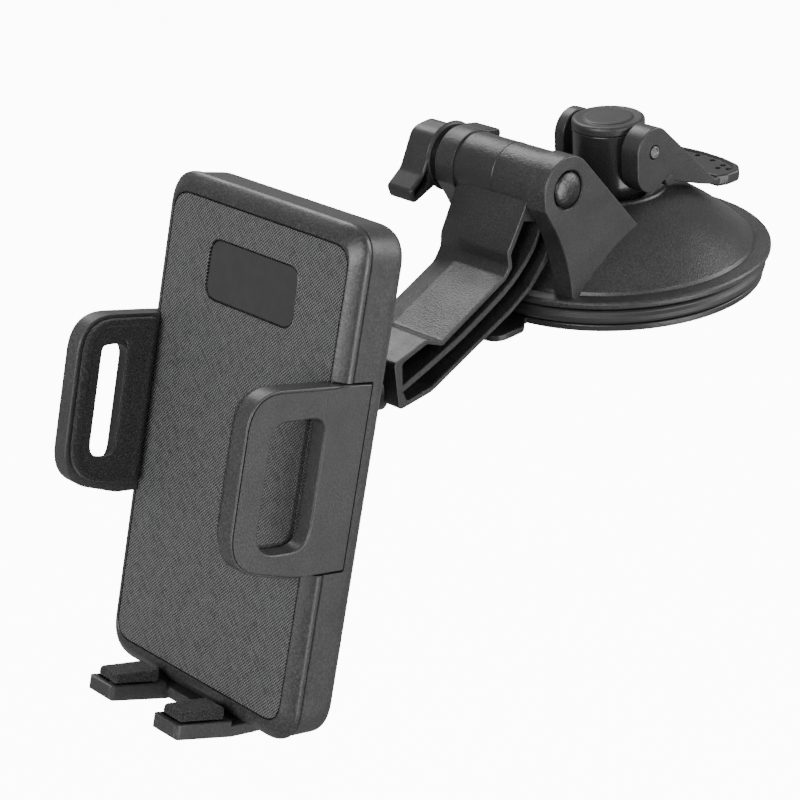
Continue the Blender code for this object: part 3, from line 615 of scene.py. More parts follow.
def build_dome():
    """Bell-shaped cover with a dished collar, a flat rim and the two hinge ears."""
    inner_r = CREASE_R - 2.2
    bore_r = POST_R + 0.5
    profile = [(bore_r, DISH_Z), (COLLAR_R - 2.4, DISH_Z), (COLLAR_R - 1.9, COLLAR_TOP - 0.3),
               (COLLAR_R - 1.3, COLLAR_TOP), (COLLAR_R - 0.3, COLLAR_TOP)]
    profile += [(r, bell_height(r, CREASE_R, COLLAR_TOP - 0.4, CREASE_TOP))
                for r in evenly(BELL_R, CREASE_R, 22)]
    profile += [(CREASE_R + 0.35, FLANGE_TOP), (FLANGE_R - 0.4, FLANGE_TOP), (FLANGE_R, FLANGE_TOP - 0.5),
                (FLANGE_R, FLANGE_LOW), (inner_r + 0.6, FLANGE_LOW)]
    profile += [(r, bell_height(r, inner_r, COLLAR_TOP - 2.6, FLANGE_LOW + 0.8))
                for r in reversed(evenly(BELL_R - 1.0, inner_r, 8))]
    profile += [(bore_r, COLLAR_TOP - 3.6)]
    shell = body(lathe(soften(profile, 0.3, 2), "Z", 128), "dome_shell")

    front_edge = [(-39.9, 31.0), (-37.2, 26.4), (-35.2, 22.2), (-33.6, 17.6), (-32.4, 12.4), (-31.8, 7.0)]
    under_dome = [(-28.0, 6.9), (-24.0, 11.2), (-18.0, 15.2), (-9.0, 18.4)]
    ear = circle(*HINGE.yz, EAR_R, 32, 40.0, 176.0) + spline(front_edge, 5) + under_dome
    for side in (1, -1):
        weld(shell, slab(ear, side * EAR_IN, side * EAR_OUT, 0.32, "X", 0.15))
    seat_r = BOLT_HEAD_R + 0.4
    seat = EAR_OUT - 1.6
    hole = [(0, -EAR_OUT - OVERCUT), (BOLT_R + GAP, -EAR_OUT - OVERCUT), (BOLT_R + GAP, seat), (seat_r, seat),
            (seat_r, EAR_OUT - 0.25), (seat_r + 0.3, EAR_OUT + 0.05), (seat_r + 0.3, EAR_OUT + OVERCUT),
            (0, EAR_OUT + OVERCUT)]
    cut(shell, lathe(hole, "X", 48, HINGE.yz))

    # Fine mould lines down the rim below the ears' faces
    line_half = 0.06
    line_depth = 0.09
    for x in (EAR_IN + 0.4, EAR_OUT + 0.1):
        for side in (1, -1):
            y = -math.sqrt(FLANGE_R**2 - x**2)
            cut(shell, box((side * x - line_half, y - OVERCUT, FLANGE_LOW - 0.7),
                           (side * x + line_half, y + line_depth, FLANGE_TOP + 1.2)))
    finish_piece(shell, MODEL, "base", LOOKS["dome"], ["dome_cover"], 28.0)


def build_cup():
    """Suction cup with a grooved lip, and the sticky layer under it with its pull tab."""
    lip_r = CUP_R - 0.5
    profile = [(0, CUP_LOW), (CUP_R - 1.2, CUP_LOW), (CUP_R - 0.3, 2.1), (CUP_R, 2.7), (CUP_R, 3.6),
               (lip_r, 4.3), (lip_r, 4.6), (CUP_R - 0.9, 5.0), (34.4, 5.0), (CREASE_R, 5.8), (9.0, 4.1),
               (0, 4.1)]
    cup = body(lathe(soften(profile), "Z", 128), "cup_rubber")
    finish_piece(cup, MODEL, "base", LOOKS["cup"], ["suction_cup"])

    side_angle = math.degrees(math.asin(TAB_ROOT / GEL_R))
    tab = [(-TAB_ROOT, -GEL_R - 0.2, 0), (-TAB_HALF, -GEL_R - 3.4, 3), (-TAB_HALF, -TAB_REACH, 7.5)]
    outline = circle(0, 0, GEL_R, 110, side_angle - 90, 270 - side_angle)
    outline += rounded(tab + mirrored(tab), 12)
    pad = body(slab(outline, 0.0, GEL_TOP, 0.35), "gel_layer")
    finish_piece(pad, MODEL, "base", LOOKS["gel"], ["gel_pad"])


def build_post():
    """Column with its buried foot, and the cap on its top."""
    profile = [(0, 9.6), (11.6, 9.6), (11.6, 11.4), (8.9, 12.8), (POST_R, 14.4), (POST_R, POST_TOP),
               (0, POST_TOP)]
    column = body(lathe(soften(profile, 0.35), "Z", 96), "post_column")
    cut(column, rod(PIN_HOLE_R, -12, 12, "X", 32, PIN.yz))
    finish_piece(column, MODEL, "post", LOOKS["post"], ["hub_post"])

    seam = POST_TOP + 0.06
    profile = [(0, seam), (POST_R, seam), (POST_R, CAP_TOP - 0.9), (POST_R - 0.12, CAP_TOP - 0.5),
               (POST_R - 0.4, CAP_TOP - 0.24), (POST_R - 0.9, CAP_TOP - 0.16), (POST_R - 2.6, CAP_TOP - 0.3),
               (POST_R - 2.9, CAP_TOP - 0.04), (POST_R - 3.3, CAP_TOP), (0, CAP_TOP)]
    cap = body(lathe(soften(profile), "Z", 96), "post_top")
    finish_piece(cap, MODEL, "post", LOOKS["knob"], ["post_cap"], 50.0)


def build_lever():
    """Both cam arms and the finger tab between them, drawn from the pin. The tab's tray has grip dimples."""
    near = LEVER_OUT + RIVET_PROUD
    far = -LEVER_FAR - RIVET_PROUD
    outline = circle(0, 0, 5.8, 24, 50, 180) + circle(-0.6, -4.3, 5.2, 24, 180, 312)
    outline += [(3.8, -7.9), (4.6, -8.0), (8.6, -9.6), (11.0, -10.5), (15.6, -12.3), (20.0, -13.7),
                (22.0, -14.4), (22.8, -14.6), (24.0, -14.6), (24.0, -12.9), (22.0, -12.9), (21.2, -12.2)]
    arms = body(slab(outline, LEVER_IN, LEVER_OUT, 0.3, "X"), "lever_body")
    weld(arms, slab(outline, -LEVER_FAR, -LEVER_IN, 0.3, "X"))

    rim = [(7.0, 34.0, 4), (12.8, 32.4, 3), (15.3, 29.6, 2.5), (15.0, 25.6, 2)]
    notch = [(9.4, 23.0, 0), (7.0, 25.6, 3)]
    near_half = [*rim, (13.7, 23.0, 0), *notch]
    far_half = [*rim, (11.7, 23.0, 0), *notch]
    grip = rounded([(0, 34.6, 8), *near_half, *mirrored(far_half)])
    weld(arms, slab(grip, -15.5, -12.5, 0.5, soft_low=0.9))
    edge = [(13.2, 26.4, 2), (13.6, 29.2, 2), (11.6, 31.4, 3), (6.6, 32.9, 4)]
    tray = rounded([*edge, (0, 33.4, 8), *mirrored(edge), (-7.0, 26.9, 3), (7.0, 26.9, 3)])
    cut(arms, stack([(inset(tray, 0.25), -12.95), (inset(tray, 0.1), -12.8), (inset(tray, -0.2), -12.45),
                     (inset(tray, -0.5), -12.0)]))
    dimple = [(0, -13.9), (0.5, -13.8), (0.7, -13.4), (0.8, -12.0), (0, -12.0)]
    for at in ((0.2, 32.2), (5.3, 31.6), (9.5, 30.4), (12.2, 29.2), (9.7, 28.2)):
        cut(arms, lathe(dimple, "Z", 16, at))
    cut(arms, rod(PIN_HOLE_R, -16, 16, "X", 32))
    stud_at = (5.2, -8.2)
    for inner, outer in ((9.4, near), (-9.4, far)):
        step = math.copysign(RIVET_PROUD, outer)
        stud = [(0, inner), (1.4, inner), (1.4, outer - step), (1.2, outer - step * 0.2), (0.8, outer),
                (0, outer)]
        weld(arms, lathe(stud, "X", 24, stud_at))
    finish_piece(arms, Matrix.Translation(PIN), "lever", LOOKS["knob"], ["lock_lever"])

    rivet = [(0, far + 0.25), (0.85, far + 0.2), (1.0, far), (1.3, far), (1.45, far + 0.15),
             (1.45, near - 0.15), (1.3, near), (1.0, near), (0.85, near - 0.2), (0, near - 0.25)]
    pin = body(lathe(rivet, "X", 32), "lever_rivet")
    finish_piece(pin, Matrix.Translation(PIN), "lever", LOOKS["rivet"], ["lever_pin"])


def build_knob():
    """S-shaped wing knob. Each wing is a hollow leaf that sweeps out from the round boss."""
    face = -EAR_OUT - GAP - WASHER - GAP
    boss_r = 8.2
    hub_r = 6.6
    boss = [(0, face), (boss_r - 0.6, face), (boss_r, face - 0.5), (boss_r, face - 0.8),
            (boss_r - 0.5, face - 1.1), (hub_r, face - 1.2), (hub_r, face - 7.2), (hub_r - 0.4, face - 7.9),
            (hub_r - 1.2, face - 8.2), (0, face - 8.2)]
    wings = body(lathe(soften(boss), "X", 96), "knob_wings")
    front = rounded([(3.0, 7.6, 3), (-5.2, 7.0, 4), (-7.6, 2.2, 3.5), (-9.6, -1.6, 4), (-14.2, -4.8, 1.4),
                     (-13.0, -8.2, 1.4), (-6.0, -5.6, 4), (2.0, -4.0, 0)], 10)
    rear = rounded([(-2.0, -6.6, 2), (5.6, -5.4, 5), (9.6, -1.8, 3), (15.6, -1.2, 1.4), (16.4, 2.2, 1.4),
                    (8.0, 3.8, 4), (-2.0, 5.0, 0)], 10)
    front_hollow = rounded([(-8.0, -1.0, 1), (-9.8, -3.2, 1), (-12.6, -5.2, 0.6), (-12.2, -6.6, 0.6),
                            (-8.0, -4.6, 1)])
    rear_hollow = rounded([(8.0, 2.2, 1), (14.8, 0.9, 0.6), (14.6, -0.2, 0.6), (10.0, -0.6, 1),
                           (8.0, -2.0, 1)])
    for leaf, pocket in ((front, front_hollow), (rear, rear_hollow)):
        mouth = inset(pocket, -0.25)
        weld(wings, slab(leaf, face - 0.2, face - 8.0, 0.5, "X"))
        cut(wings, stack([(mouth, face + 0.5), (mouth, face - 0.3), (pocket, face - 0.8),
                          (pocket, face - 6.4)], "X"))
    nut_near = face - 2.6
    nut_far = face - 6.9
    bore_r = BOLT_R + GAP
    bore = [(0, face + OVERCUT), (bore_r + 0.25, face + OVERCUT), (bore_r, face - 0.3), (bore_r, nut_near),
            (4.9, nut_near), (4.9, nut_far), (0, nut_far)]
    cut(wings, lathe(bore, "X", 32))
    finish_piece(wings, Matrix.Translation(HINGE), "knob", LOOKS["knob"], ["wing_knob"])


def build_bolt():
    """Bolt with a low domed head, sunk into the right ear."""
    seat = EAR_OUT - 1.3
    angles = [math.radians(10 * k) for k in range(8)]
    head = [(BOLT_HEAD_R * math.cos(t), EAR_OUT - 0.5 + 1.3 * math.sin(t)) for t in angles]
    profile = [(0, BOLT_END), (BOLT_R - 0.4, BOLT_END), (BOLT_R, BOLT_END + 0.4), (BOLT_R, seat),
               (BOLT_HEAD_R - 0.1, seat), (BOLT_HEAD_R, seat + 0.2), *head, (0, EAR_OUT + 0.8)]
    bolt = body(lathe(profile, "X", 48, HINGE.yz), "bolt_domed")
    finish_piece(bolt, MODEL, "knob", LOOKS["bolt"], ["hinge_bolt"], 50.0)


# -------------------- arm

def knuckle_barrel():
    """Barrel of the hinge, with a raised rim round both ends and a thin parting ring near its middle."""
    end = [(KNUCKLE_R - 2.2, ARM_HALF), (KNUCKLE_R - 0.05, ARM_HALF + 0.26), (KNUCKLE_R, ARM_HALF - 0.35)]
    parting_r = KNUCKLE_R + 0.09
    rings = [(radius, -x) for radius, x in end]
    rings += [(KNUCKLE_R, 0.25), (parting_r, 0.4), (parting_r, 0.5), (KNUCKLE_R, 0.65)]
    rings += reversed(end)
    return stack([(circle(*HINGE.yz, radius, 96), x) for radius, x in rings], "X")


def ball_stem():
    """Ball and its flared neck, aimed along the stem."""
    angles = [math.radians(-90 + 4 * k) for k in range(40)]
    ball = [(BALL_R * math.cos(t), BALL_R * math.sin(t)) for t in angles]
    ball = [point for point in ball if point[1] < 7.1]
    neck = [(3.2, 7.15), (3.4, 10.0), (4.6, 11.9), (6.4, 13.6), (7.2, 15.4), (0, 15.4)]
    stem = lathe([(0, -BALL_R), *ball[1:], *neck], "Z", 64)
    aim = Vector((0.0, 0.0, 1.0)).rotation_difference(STEM).to_matrix().to_4x4()
    stem.transform(Matrix.Translation(BALL) @ aim)
    return stem


def build_arm():
    """Ribbed swing arm. Its left band falls away from a ridge, and its right side is open between ribs."""
    under = [(-81.0, -3.8, 1.5), (-71.0, -2.9, 6), (-58.0, 2.3, 12), (-46.0, 7.0, 12), (-38.6, 11.0, 6),
             (-32.2, 16.8, 6), (-27.6, 24.0, 6), (-25.6, 31.0, 1)]
    crisp = [(-38.6, 33.0, 1), (-46.2, 21.7, 1.5), (-45.8, 18.3, 1.5), (-47.6, 16.6, 2), (-67.3, 8.0, 1.5),
             (-71.6, 10.0, 1.5), (-81.6, 7.6, 1.2)]
    blended = [(-38.3, 32.4, 1), (-44.9, 21.0, 3), (-45.2, 17.8, 3), (-47.6, 14.8, 4), (-66.8, 6.6, 3),
               (-71.3, 8.3, 3), (-81.4, 5.6, 1.5)]

    def section(share):
        """The side outline, from crisp at 0 to blended at 1."""
        top = [tuple(a + (b - a) * share for a, b in zip(one, other)) for one, other in zip(crisp, blended)]
        return rounded([*top, *under], 7)

    edge = 0.3
    left = section(1.0)
    right = section(0.0)
    layers = [(inset(left, edge), -ARM_HALF), (inset(left, edge * 0.3), -ARM_HALF + edge * 0.3),
              (left, -ARM_HALF + edge), (section(0.5), (RIDGE_X - ARM_HALF) / 2),
              (section(0.06), RIDGE_X - 0.35), (right, RIDGE_X), (right, ARM_HALF - edge),
              (inset(right, edge * 0.3), ARM_HALF - edge * 0.3), (inset(right, edge), ARM_HALF)]
    bar = body(stack(layers, "X"), "arm_body")
    weld(bar, knuckle_barrel())

    middle = spline([(-35.0, 25.2), (-37.4, 20.8), (-42.4, 16.2), (-47.4, 13.0), (-54.8, 9.6), (-62.0, 6.6),
                     (-70.0, 3.9), (-79.4, 1.0)], 5)
    under_top = [(-40.5, 27.6, 0), (-44.9, 21.1, 1), (-44.6, 18.0, 1.2), (-46.8, 15.7, 2), (-67.1, 6.8, 1.5),
                 (-71.6, 8.8, 1.5), (-79.2, 6.8, 1.2)]
    over_bottom = [(-78.4, -2.4, 0.8), (-71.2, -1.6, 6), (-58.2, 3.5, 12), (-46.3, 8.2, 12), (-39.3, 12.0, 6),
                   (-33.7, 17.8, 4), (-31.4, 22.4, 0)]
    upper = rounded([*under_top, *((y, z + RIB_HALF, 0) for y, z in reversed(middle))], 6)
    lower = rounded([*((y, z - RIB_HALF, 0) for y, z in middle), *over_bottom], 6)
    for recess in (upper, lower):
        mouth = inset(recess, -0.15)
        cut(bar, stack([(recess, WEB_X), (recess, ARM_HALF - 0.15), (mouth, ARM_HALF + 0.01),
                        (mouth, ARM_HALF + OVERCUT)], "X"))

    weld(bar, ball_stem())
    cut(bar, rod(BOLT_R + GAP, -20, 20, "X", 32, HINGE.yz))
    finish_piece(bar, MODEL, "arm", LOOKS["arm"], ["arm"], 24.0)


# -------------------- cradle

def body_ring(distance):
    """The case's outline, moved inwards."""
    return rectangle(BODY_W - 2 * distance, BODY_H - 2 * distance, BODY_R - 0.6 * distance, steps=16)


def side_notch(side, low, high, depth):
    """A box cutter for the notch that a clamp's leg passes through."""
    xs = sorted((side * (CLAMP_LEG_IN - depth), side * (BODY_W / 2 + OVERCUT)))
    return box((xs[0], CLAMP_LOW - GAP, low), (xs[1], CLAMP_HIGH + GAP, high))


def build_front():
    """Front half of the case with its screw posts, the woven panel and the plain badge."""
    shoulder = [(0.2, SEAM_Z), (0, SEAM_Z + 0.2), (0, -2.6), (0.1, -2.1), (0.45, -1.65), (0.95, -1.2),
                (1.5, -0.75), (2.1, -0.3), (2.6, 0.0), (2.95, 0.1), (3.3, 0.1)]
    bezel = body(stack([(body_ring(distance), z) for distance, z in shoulder]), "bezel_frame")
    recess = rectangle(FACE_W + 0.5, FACE_H + 0.5, FACE_R, steps=16)
    mouth = inset(recess, -0.22)
    cut(bezel, stack([(recess, -1.2), (recess, -0.1), (mouth, 0.12), (mouth, 2.0)]))
    for side in (1, -1):
        cut(bezel, side_notch(side, SEAM_Z - OVERCUT, 2, GAP))
    for at in SCREWS_AT:
        weld(bezel, rod(2.6, -10.6, SEAM_Z + 0.5, "Z", 24, at))
        cut(bezel, rod(1.25, -12, -4.4, "Z", 20, at))
    finish_piece(bezel, CRADLE, "cradle", LOOKS["bezel"], ["front_bezel"])

    sheet = rectangle(FACE_W - 0.1, FACE_H - 0.1, FACE_R - 0.3, steps=16)
    panel = body(slab(sheet, -0.9, 0.0, 0.15), "panel_sheet")
    window = rectangle(28.0, 13.1, 3.6, 0, WINDOW_Y, 12)
    mouth = inset(window, -0.15)
    cut(panel, stack([(window, -2), (window, -0.15), (mouth, 0.01), (mouth, OVERCUT)]))
    finish_piece(panel, CRADLE, "cradle", LOOKS["weave"], ["face_panel"])
    blank = rectangle(27.4, 12.5, 3.3, 0, WINDOW_Y, 12)
    plate = body(slab(blank, -0.9, -0.35, 0.2, soft_low=0.05), "badge_blank")
    finish_piece(plate, CRADLE, "cradle", LOOKS["badge"], ["badge_plate"])


def build_back():
    """Rear half of the case, with its socket collar, screw wells, openings and screws."""
    collar_r = 11.1
    edge_r = 3.6
    edge_z = BACK_Z + edge_r
    layers = [(body_ring(0.4), SEAM_Z - GAP), (body_ring(0.2), SEAM_Z - GAP - 0.2), (body_ring(0.2), edge_z)]
    for k in range(1, 9):
        t = math.pi / 2 * k / 8
        layers.append((body_ring(0.2 + 3.4 * (1 - math.cos(t))), edge_z - edge_r * math.sin(t)))
    cover = body(stack(layers), "case_back")
    cut(cover, prism(rectangle(BODY_W - 4.0, BODY_H - 4.0, BODY_R - 2.0, steps=12), BACK_Z + 3.0, 0))
    for side in (1, -1):
        cut(cover, side_notch(side, NOTCH_Z, 0, 1))
    foot_opening = box((-15.4, -60, -9.4), (15.4, -51, 0))
    button_opening = box((-32, -36.3, -8.7), (-27, -27.7, -5.5))
    cut(cover, foot_opening, button_opening)

    low = BALL_BACK - 0.2
    collar = [(0, low), (collar_r - 0.4, low), (collar_r, low + 0.4), (collar_r, BACK_Z - 1.2),
              (collar_r + 0.6, BACK_Z - 0.4), (collar_r + 1.5, BACK_Z + 0.1), (collar_r + 1.5, BACK_Z + 1.0),
              (0, BACK_Z + 1.0)]
    weld(cover, lathe(collar, "Z", 96, (0.0, BALL_UP)))
    angles = [math.radians(5 * k) for k in range(18)]
    seat = [(SOCKET_R * math.cos(t), BALL_BACK + SOCKET_R * math.sin(t)) for t in angles]
    socket = [(0, BALL_BACK - OVERCUT), (SOCKET_R, BALL_BACK - OVERCUT), *seat, (0, BALL_BACK + SOCKET_R)]
    cut(cover, lathe(socket, "Z", 64, (0.0, BALL_UP)))

    well = [(0, BACK_Z - 1), (3.0, BACK_Z - 1), (3.0, BACK_Z - 0.1), (2.7, BACK_Z + 0.3), (2.7, -12.5),
            (1.5, -12.5), (1.5, -10), (0, -10)]
    for index, at in enumerate(SCREWS_AT):
        cut(cover, lathe(well, "Z", 32, at))
        build_screw(index + 1, at)
    finish_piece(cover, CRADLE, "cradle", LOOKS["case"], ["rear_cover"])


def build_screw(number, at):
    """Round-headed screw with a cross recess."""
    under_head = -12.8
    outline = [(0, -13.9), (1.2, -13.85), (1.9, -13.65), (SCREW_HEAD_R, -13.2), (SCREW_HEAD_R, under_head),
               (0.95, under_head), (0.95, -5.2), (0.3, -4.7), (0, -4.7)]
    screw = body(lathe(outline, "Z", 32, at), "screw_%d" % number)
    for width, depth in ((2.6, 0.55), (0.55, 2.6)):
        cross = rectangle(width, depth, 0.15, *at, steps=2)
        cut(screw, stack([(inset(cross, -0.1), -14.2), (cross, -13.7), (inset(cross, 0.12), -13.15)]))
    finish_piece(screw, CRADLE, "cradle", LOOKS["steel"], ["cover_screw_%d" % number])


def build_ring_nut():
    """Collar nut round the ball, drawn from the ball's centre, with finger flutes."""
    about = CRADLE @ Matrix.Translation((0.0, BALL_UP, BALL_BACK))
    outer_r = 13.4
    thread_r = 11.4
    lip_low = math.asin(-4.3 / SOCKET_R)
    lip_high = math.asin(-1.0 / SOCKET_R)
    lip = [(SOCKET_R * math.cos(t), SOCKET_R * math.sin(t)) for t in (lip_low, *evenly(lip_low, lip_high, 6))]
    profile = [(thread_r, 8.0), (outer_r - 0.5, 8.0), (outer_r, 7.5), (outer_r, -2.6), (outer_r - 0.3, -3.6),
               (outer_r - 1.2, -4.6), (thread_r, -4.9), (9.4, -4.9), *lip, (thread_r, -1.0)]
    nut = body(lathe(profile, "Z", 96), "nut_ring")
    flute = [(0, -8.0), (1.7, -8.0), (1.3, -2.8), (1.3, 5.4), (1.0, 5.9), (0, 6.1)]
    for at in circle(0.0, 0.0, outer_r + 0.7, 12):
        cut(nut, lathe(flute, "Z", 20, at))
    finish_piece(nut, about, "nut", LOOKS["knob"], ["ring_nut"])


def rack_outline():
    """The right clamp's bar, with its teeth towards the pinion."""
    start = -21.5
    end = 29.0
    root = PINION_Y + PITCH_R + 1.0
    tip = root - TOOTH_DEPTH
    top = root + 3.2
    root_half = 0.62
    tip_half = 0.3
    outline = [(end, top), (start, top), (start, root)]
    first = math.ceil((start + 1.0) / TOOTH_PITCH - 0.5)
    last = math.floor((CLAMP_LEG_IN - 6.0) / TOOTH_PITCH - 0.5)
    for k in range(first, last + 1):
        middle = (k + 0.5) * TOOTH_PITCH
        outline += [(middle - root_half, root), (middle - tip_half, tip), (middle + tip_half, tip),
                    (middle + root_half, root)]
    outline.append((end, root))
    return outline


def roughen(obj, voxel):
    """Remeshes a foam piece evenly and gives its skin the small dents of open cells."""
    dent_depth = 0.05
    cell = 0.5
    remesh = obj.modifiers.new("even_mesh", "REMESH")
    remesh.mode = "VOXEL"
    remesh.voxel_size = voxel
    relax = obj.modifiers.new("relax", "SMOOTH")
    relax.factor = 0.5
    relax.iterations = 2
    apply_modifiers(obj)
    for vertex, normal in zip(obj.data.vertices, [v.normal.copy() for v in obj.data.vertices]):
        dent = noise.noise(vertex.co * (1.0 / cell)) + 0.5 * noise.noise(vertex.co * (2.3 / cell))
        vertex.co += normal * dent_depth * dent


def finish_foam(obj, rides_on, replaced):
    finish_piece(obj, CRADLE, rides_on, LOOKS["foam"], replaced, 60.0)


def build_clamp(side):
    """Side clamp with its long slot, edge groove, rack and foam. The left one is a little shallower."""
    if side > 0:
        name = "right"
        front, slot_low, window_low, window_high, window_back = (CLAMP_FRONT, 2.2, -10.6, 15.4, 2.6)
    else:
        name = "left"
        front, slot_low, window_low, window_high, window_back = (CLAMP_FRONT - 2.0, 7.2, -7.6, 18.2, 8.6)
    edges = [(CLAMP_HIGH, 2.0, 6), (CLAMP_HIGH, front, 8.5), (CLAMP_LOW + 3.4, front, 10),
             (CLAMP_LOW, 6.0, 8)]
    leg_end = NOTCH_Z + GAP
    plate = rounded([(CLAMP_HIGH - 0.2, leg_end, 0.5), *edges, (CLAMP_LOW + 0.2, leg_end, 0.5)], 16)
    clamp = body(slab(plate, side * CLAMP_IN, side * CLAMP_OUT, 0.3, "X"), "clamp_plate_" + name)
    line = rounded([(CLAMP_HIGH + 1.5, leg_end - 3.0, 0), *edges, (CLAMP_LOW - 1.5, leg_end - 3.0, 0)], 16)
    cut(clamp, groove(line, 0.42, 0.3, side * (CLAMP_OUT - 0.3), side * (CLAMP_OUT + OVERCUT), "X"))
    xs = sorted((side * (CLAMP_IN - OVERCUT), side * CLAMP_LEG_IN))
    cut(clamp, box((xs[0], CLAMP_LOW - 5, NOTCH_Z - 2), (xs[1], CLAMP_HIGH + 5, 0.35)))
    slot = rounded([(17.0, slot_low, 4), (16.6, 16.3, 4), (-10.8, 16.3, 6), (-10.8, slot_low, 5)], 10)
    cut(clamp, flared(slot, side * CLAMP_IN, side * CLAMP_OUT, 0.5, "X"))
    rack = rack_outline()
    if side < 0:
        rack = [(-x, 2 * PINION_Y - y) for x, y in rack]
    weld(clamp, prism(rack, RACK_LOW, RACK_HIGH))
    finish_piece(clamp, CRADLE, "clamp_" + name, LOOKS["case"], ["clamp_" + name])

    outer = CLAMP_IN - GAP
    inner = outer - PAD_THICK
    dip = inner + 0.3
    pad_front = front - 0.9
    field_front = pad_front - 1.6
    outline = rounded([(22.8, 2.3, 1), (22.8, pad_front, 7.5), (-12.2, pad_front, 9), (-14.2, 2.3, 1)], 12)
    pad = body(slab(outline, side * inner, side * outer, 0.35, "X"), "foam_" + name)
    field = rounded([(21.2, 3.6, 1), (21.2, field_front, 5.8), (-11.0, field_front, 7.4),
                     (-12.6, 3.6, 1)], 12)
    mouth = inset(field, -0.3)
    cut(pad, stack([(mouth, side * (inner - OVERCUT)), (mouth, side * inner), (field, side * dip)], "X"))
    window = rounded([(window_high, window_back, 2.5), (window_high, 15.9, 3), (window_low, 15.9, 4),
                      (window_low, window_back, 3)], 8)
    cut(pad, flared(window, side * dip, side * outer, 0.2, "X"))
    roughen(pad, 0.17)
    finish_foam(pad, "clamp_" + name, ["pad_" + name])


def build_foot():
    """Sliding foot: two upturned feet on a tongue, each with a foam block in its tray."""
    side = rounded([(-58.0, -6.0, 0), (-58.0, 0.5, 5), (-56.0, 16.5, 1.6), (-52.6, 16.5, 1), (-54.2, 0.9, 0),
                    (-55.3, 0.9, 0), (-55.3, -6.0, 0)], 6)
    bracket = body(slab(side, FOOT_X - 4.0, FOOT_X + 4.0, 0.35, "X"), "foot_frame")
    weld(bracket, slab(side, -FOOT_X - 4.0, -FOOT_X + 4.0, 0.35, "X"))
    tongue = rounded([(-57.95, -9.0, 0.8), (-57.95, 0.4, 1.2), (-55.35, 0.4, 0.8), (-55.35, -6.3, 0.8),
                      (-22.0, -6.3, 0.8), (-22.0, -9.0, 0.8)], 5)
    weld(bracket, slab(tongue, -14.9, 14.9, 0.25, "X"))
    trim = [(-5, 30, 0), (-5, 13.0, 0), (-4, 13.0, 0), (-4, 16.5, 2.4)]
    for middle in (FOOT_X, -FOOT_X):
        top_corners = rounded([(middle + x, z, radius) for x, z, radius in trim + mirrored(trim)], 10)
        cut(bracket, prism(top_corners, -62, -48, "Y"))
        tray = rectangle(6.8, 12.6, 1.2, middle, 8.5)
        cut(bracket, prism(tray, -54.6, -48.0, "Y"))
    finish_piece(bracket, CRADLE, "foot", LOOKS["case"], ["foot_bracket"])
    rise = rounded([(-54.0, 2.6, 0.4), (-52.6, 14.4, 0.4), (-50.6, 14.4, 1.2), (-51.2, 2.6, 0.8)], 5)
    for middle, name in ((FOOT_X, "right"), (-FOOT_X, "left")):
        block = body(slab(rise, middle - 3.1, middle + 3.1, 0.5, "X"), "foot_foam_" + name)
        roughen(block, 0.16)
        finish_foam(block, "foot", ["foot_pad_" + name])


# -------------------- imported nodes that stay

def dress_nodes():
    """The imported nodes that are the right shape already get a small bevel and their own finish."""
    dressed = [("socket_liner", "nylon", "nylon", 0.05), ("ball_ring", "nylon", "nylon", 0.05),
               ("knob_washer", "steel", "steel", 0.12), ("knob_nut", "brass", "brass", 0.2),
               ("pinion_gear", "nylon", "nylon", 0.08), ("pinion_axle", "steel", "steel", 0.1),
               ("opening_spring", "steel", "steel", 0.05), ("release_button", "knob", "black_plastic", 0.3),
               ("latch_pawl", "nylon", "nylon", 0.1), ("pawl_pivot", "steel", "steel", 0.1)]
    for node, look, slot, width in dressed:
        obj = frame["nodes"][node]
        obj.data.materials.clear()
        obj.data.materials.append(LOOKS[look])
        bevel = obj.modifiers.new("edge", "BEVEL")
        bevel.width = width * MM
        bevel.segments = 2
        bevel.limit_method = "ANGLE"
        bevel.angle_limit = math.radians(40)


# -------------------- stage

# The camera's place in millimetres and its directions, in the model's frame
CAMERA_AT = Vector((342.5, -380.9, 213.7))
CAMERA_RIGHT = Vector((0.6894, 0.7225, -0.0531))
CAMERA_UP = Vector((-0.2808, 0.3341, 0.8997))
LENS = 103.6

# Every light faces one place. Each has a name, a place and a size in metres, and a power in watts
LIGHTS_AIM = Vector((0.0, -0.07, 0.0))
LIGHTS = [
    ("key_light", (1.2, 0.05, -0.1), (0.8, 0.8), 13.5),
    ("top_light", (-0.82, 0.34, 0.88), (0.7, 0.5), 8.0),
    ("front_light", (0.3, -1.2, 0.5), (0.8, 0.8), 19.0),
    ("rim_light", (0.75, 0.95, 0.4), (0.5, 0.9), 12.0),
]


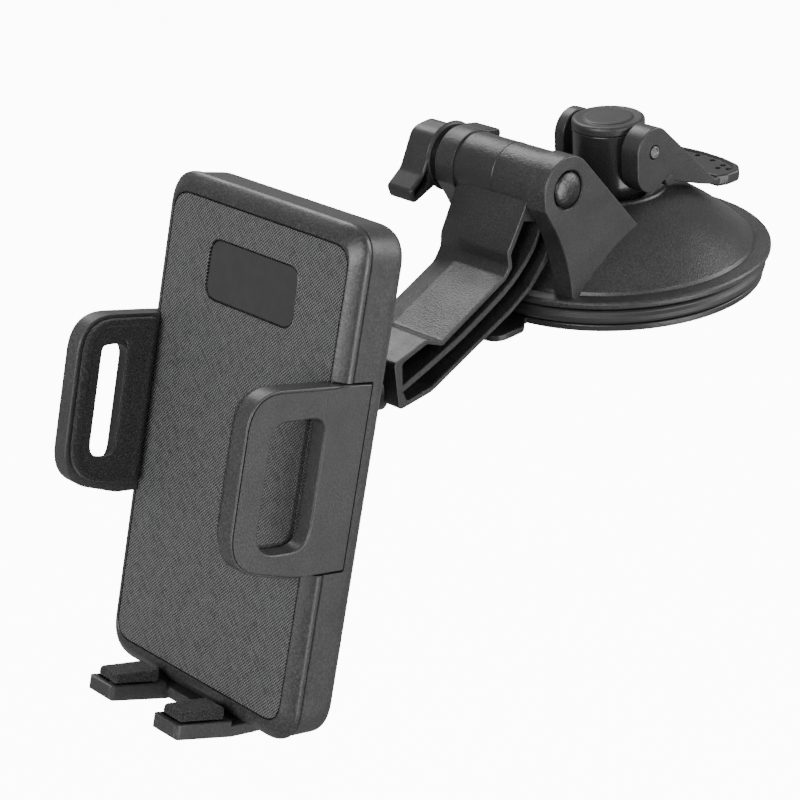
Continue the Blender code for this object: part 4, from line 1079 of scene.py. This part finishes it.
def add_camera():
    data = bpy.data.cameras.new("photo_camera")
    data.lens = LENS
    data.sensor_width = 36.0
    data.clip_start = 0.01
    data.clip_end = 20.0
    camera = bpy.data.objects.new("photo_camera", data)
    back = CAMERA_RIGHT.cross(CAMERA_UP)
    turn = Matrix((CAMERA_RIGHT, CAMERA_UP, back)).transposed().to_4x4()
    camera.matrix_world = Matrix.Translation(CAMERA_AT * MM) @ turn
    bpy.context.scene.collection.objects.link(camera)
    bpy.context.scene.camera = camera


def add_light(name, at, size, power):
    data = bpy.data.lights.new(name, "AREA")
    data.shape = "RECTANGLE"
    data.size, data.size_y = size
    data.energy = power
    light = bpy.data.objects.new(name, data)
    light.location = at
    light.rotation_euler = (LIGHTS_AIM - Vector(at)).to_track_quat("-Z", "Y").to_euler()
    bpy.context.scene.collection.objects.link(light)


def build_floor():
    """A wide pale disc well below the object, which glows so that the backdrop stays white."""
    floor_z = -300.0
    outline = circle(0, 0, 1500.0, 96)
    floor = body(stack([(outline, floor_z - 2.0), (outline, floor_z)]), "floor")
    floor.data.transform(Matrix.Scale(MM, 4))
    material, links, nodes, shader = node_material("floor_white")
    tone = add_noise(nodes, links, scale=4.0)
    links.new(blend_colours(nodes, links, tone, grey(0.86), grey(0.88)), shader.inputs["Base Color"])
    shader.inputs["Roughness"].default_value = 0.9
    shader.inputs["Emission Color"].default_value = (1.0, 1.0, 1.0, 1.0)
    shader.inputs["Emission Strength"].default_value = 11.0
    floor.data.materials.append(material)
    floor.visible_diffuse = False
    floor.visible_glossy = False


def build_stage():
    world = bpy.data.worlds.new("studio")
    bpy.context.scene.world = world
    world.use_nodes = True
    background = world.node_tree.nodes["Background"]
    background.inputs["Color"].default_value = (1.0, 1.0, 1.0, 1.0)
    background.inputs["Strength"].default_value = 0.4
    build_floor()
    for light in LIGHTS:
        add_light(*light)
    add_camera()


build_dome()
build_cup()
build_post()
build_lever()
build_knob()
build_bolt()
build_arm()
build_front()
build_back()
build_ring_nut()
build_clamp(1)
build_clamp(-1)
build_foot()
dress_nodes()
build_stage()
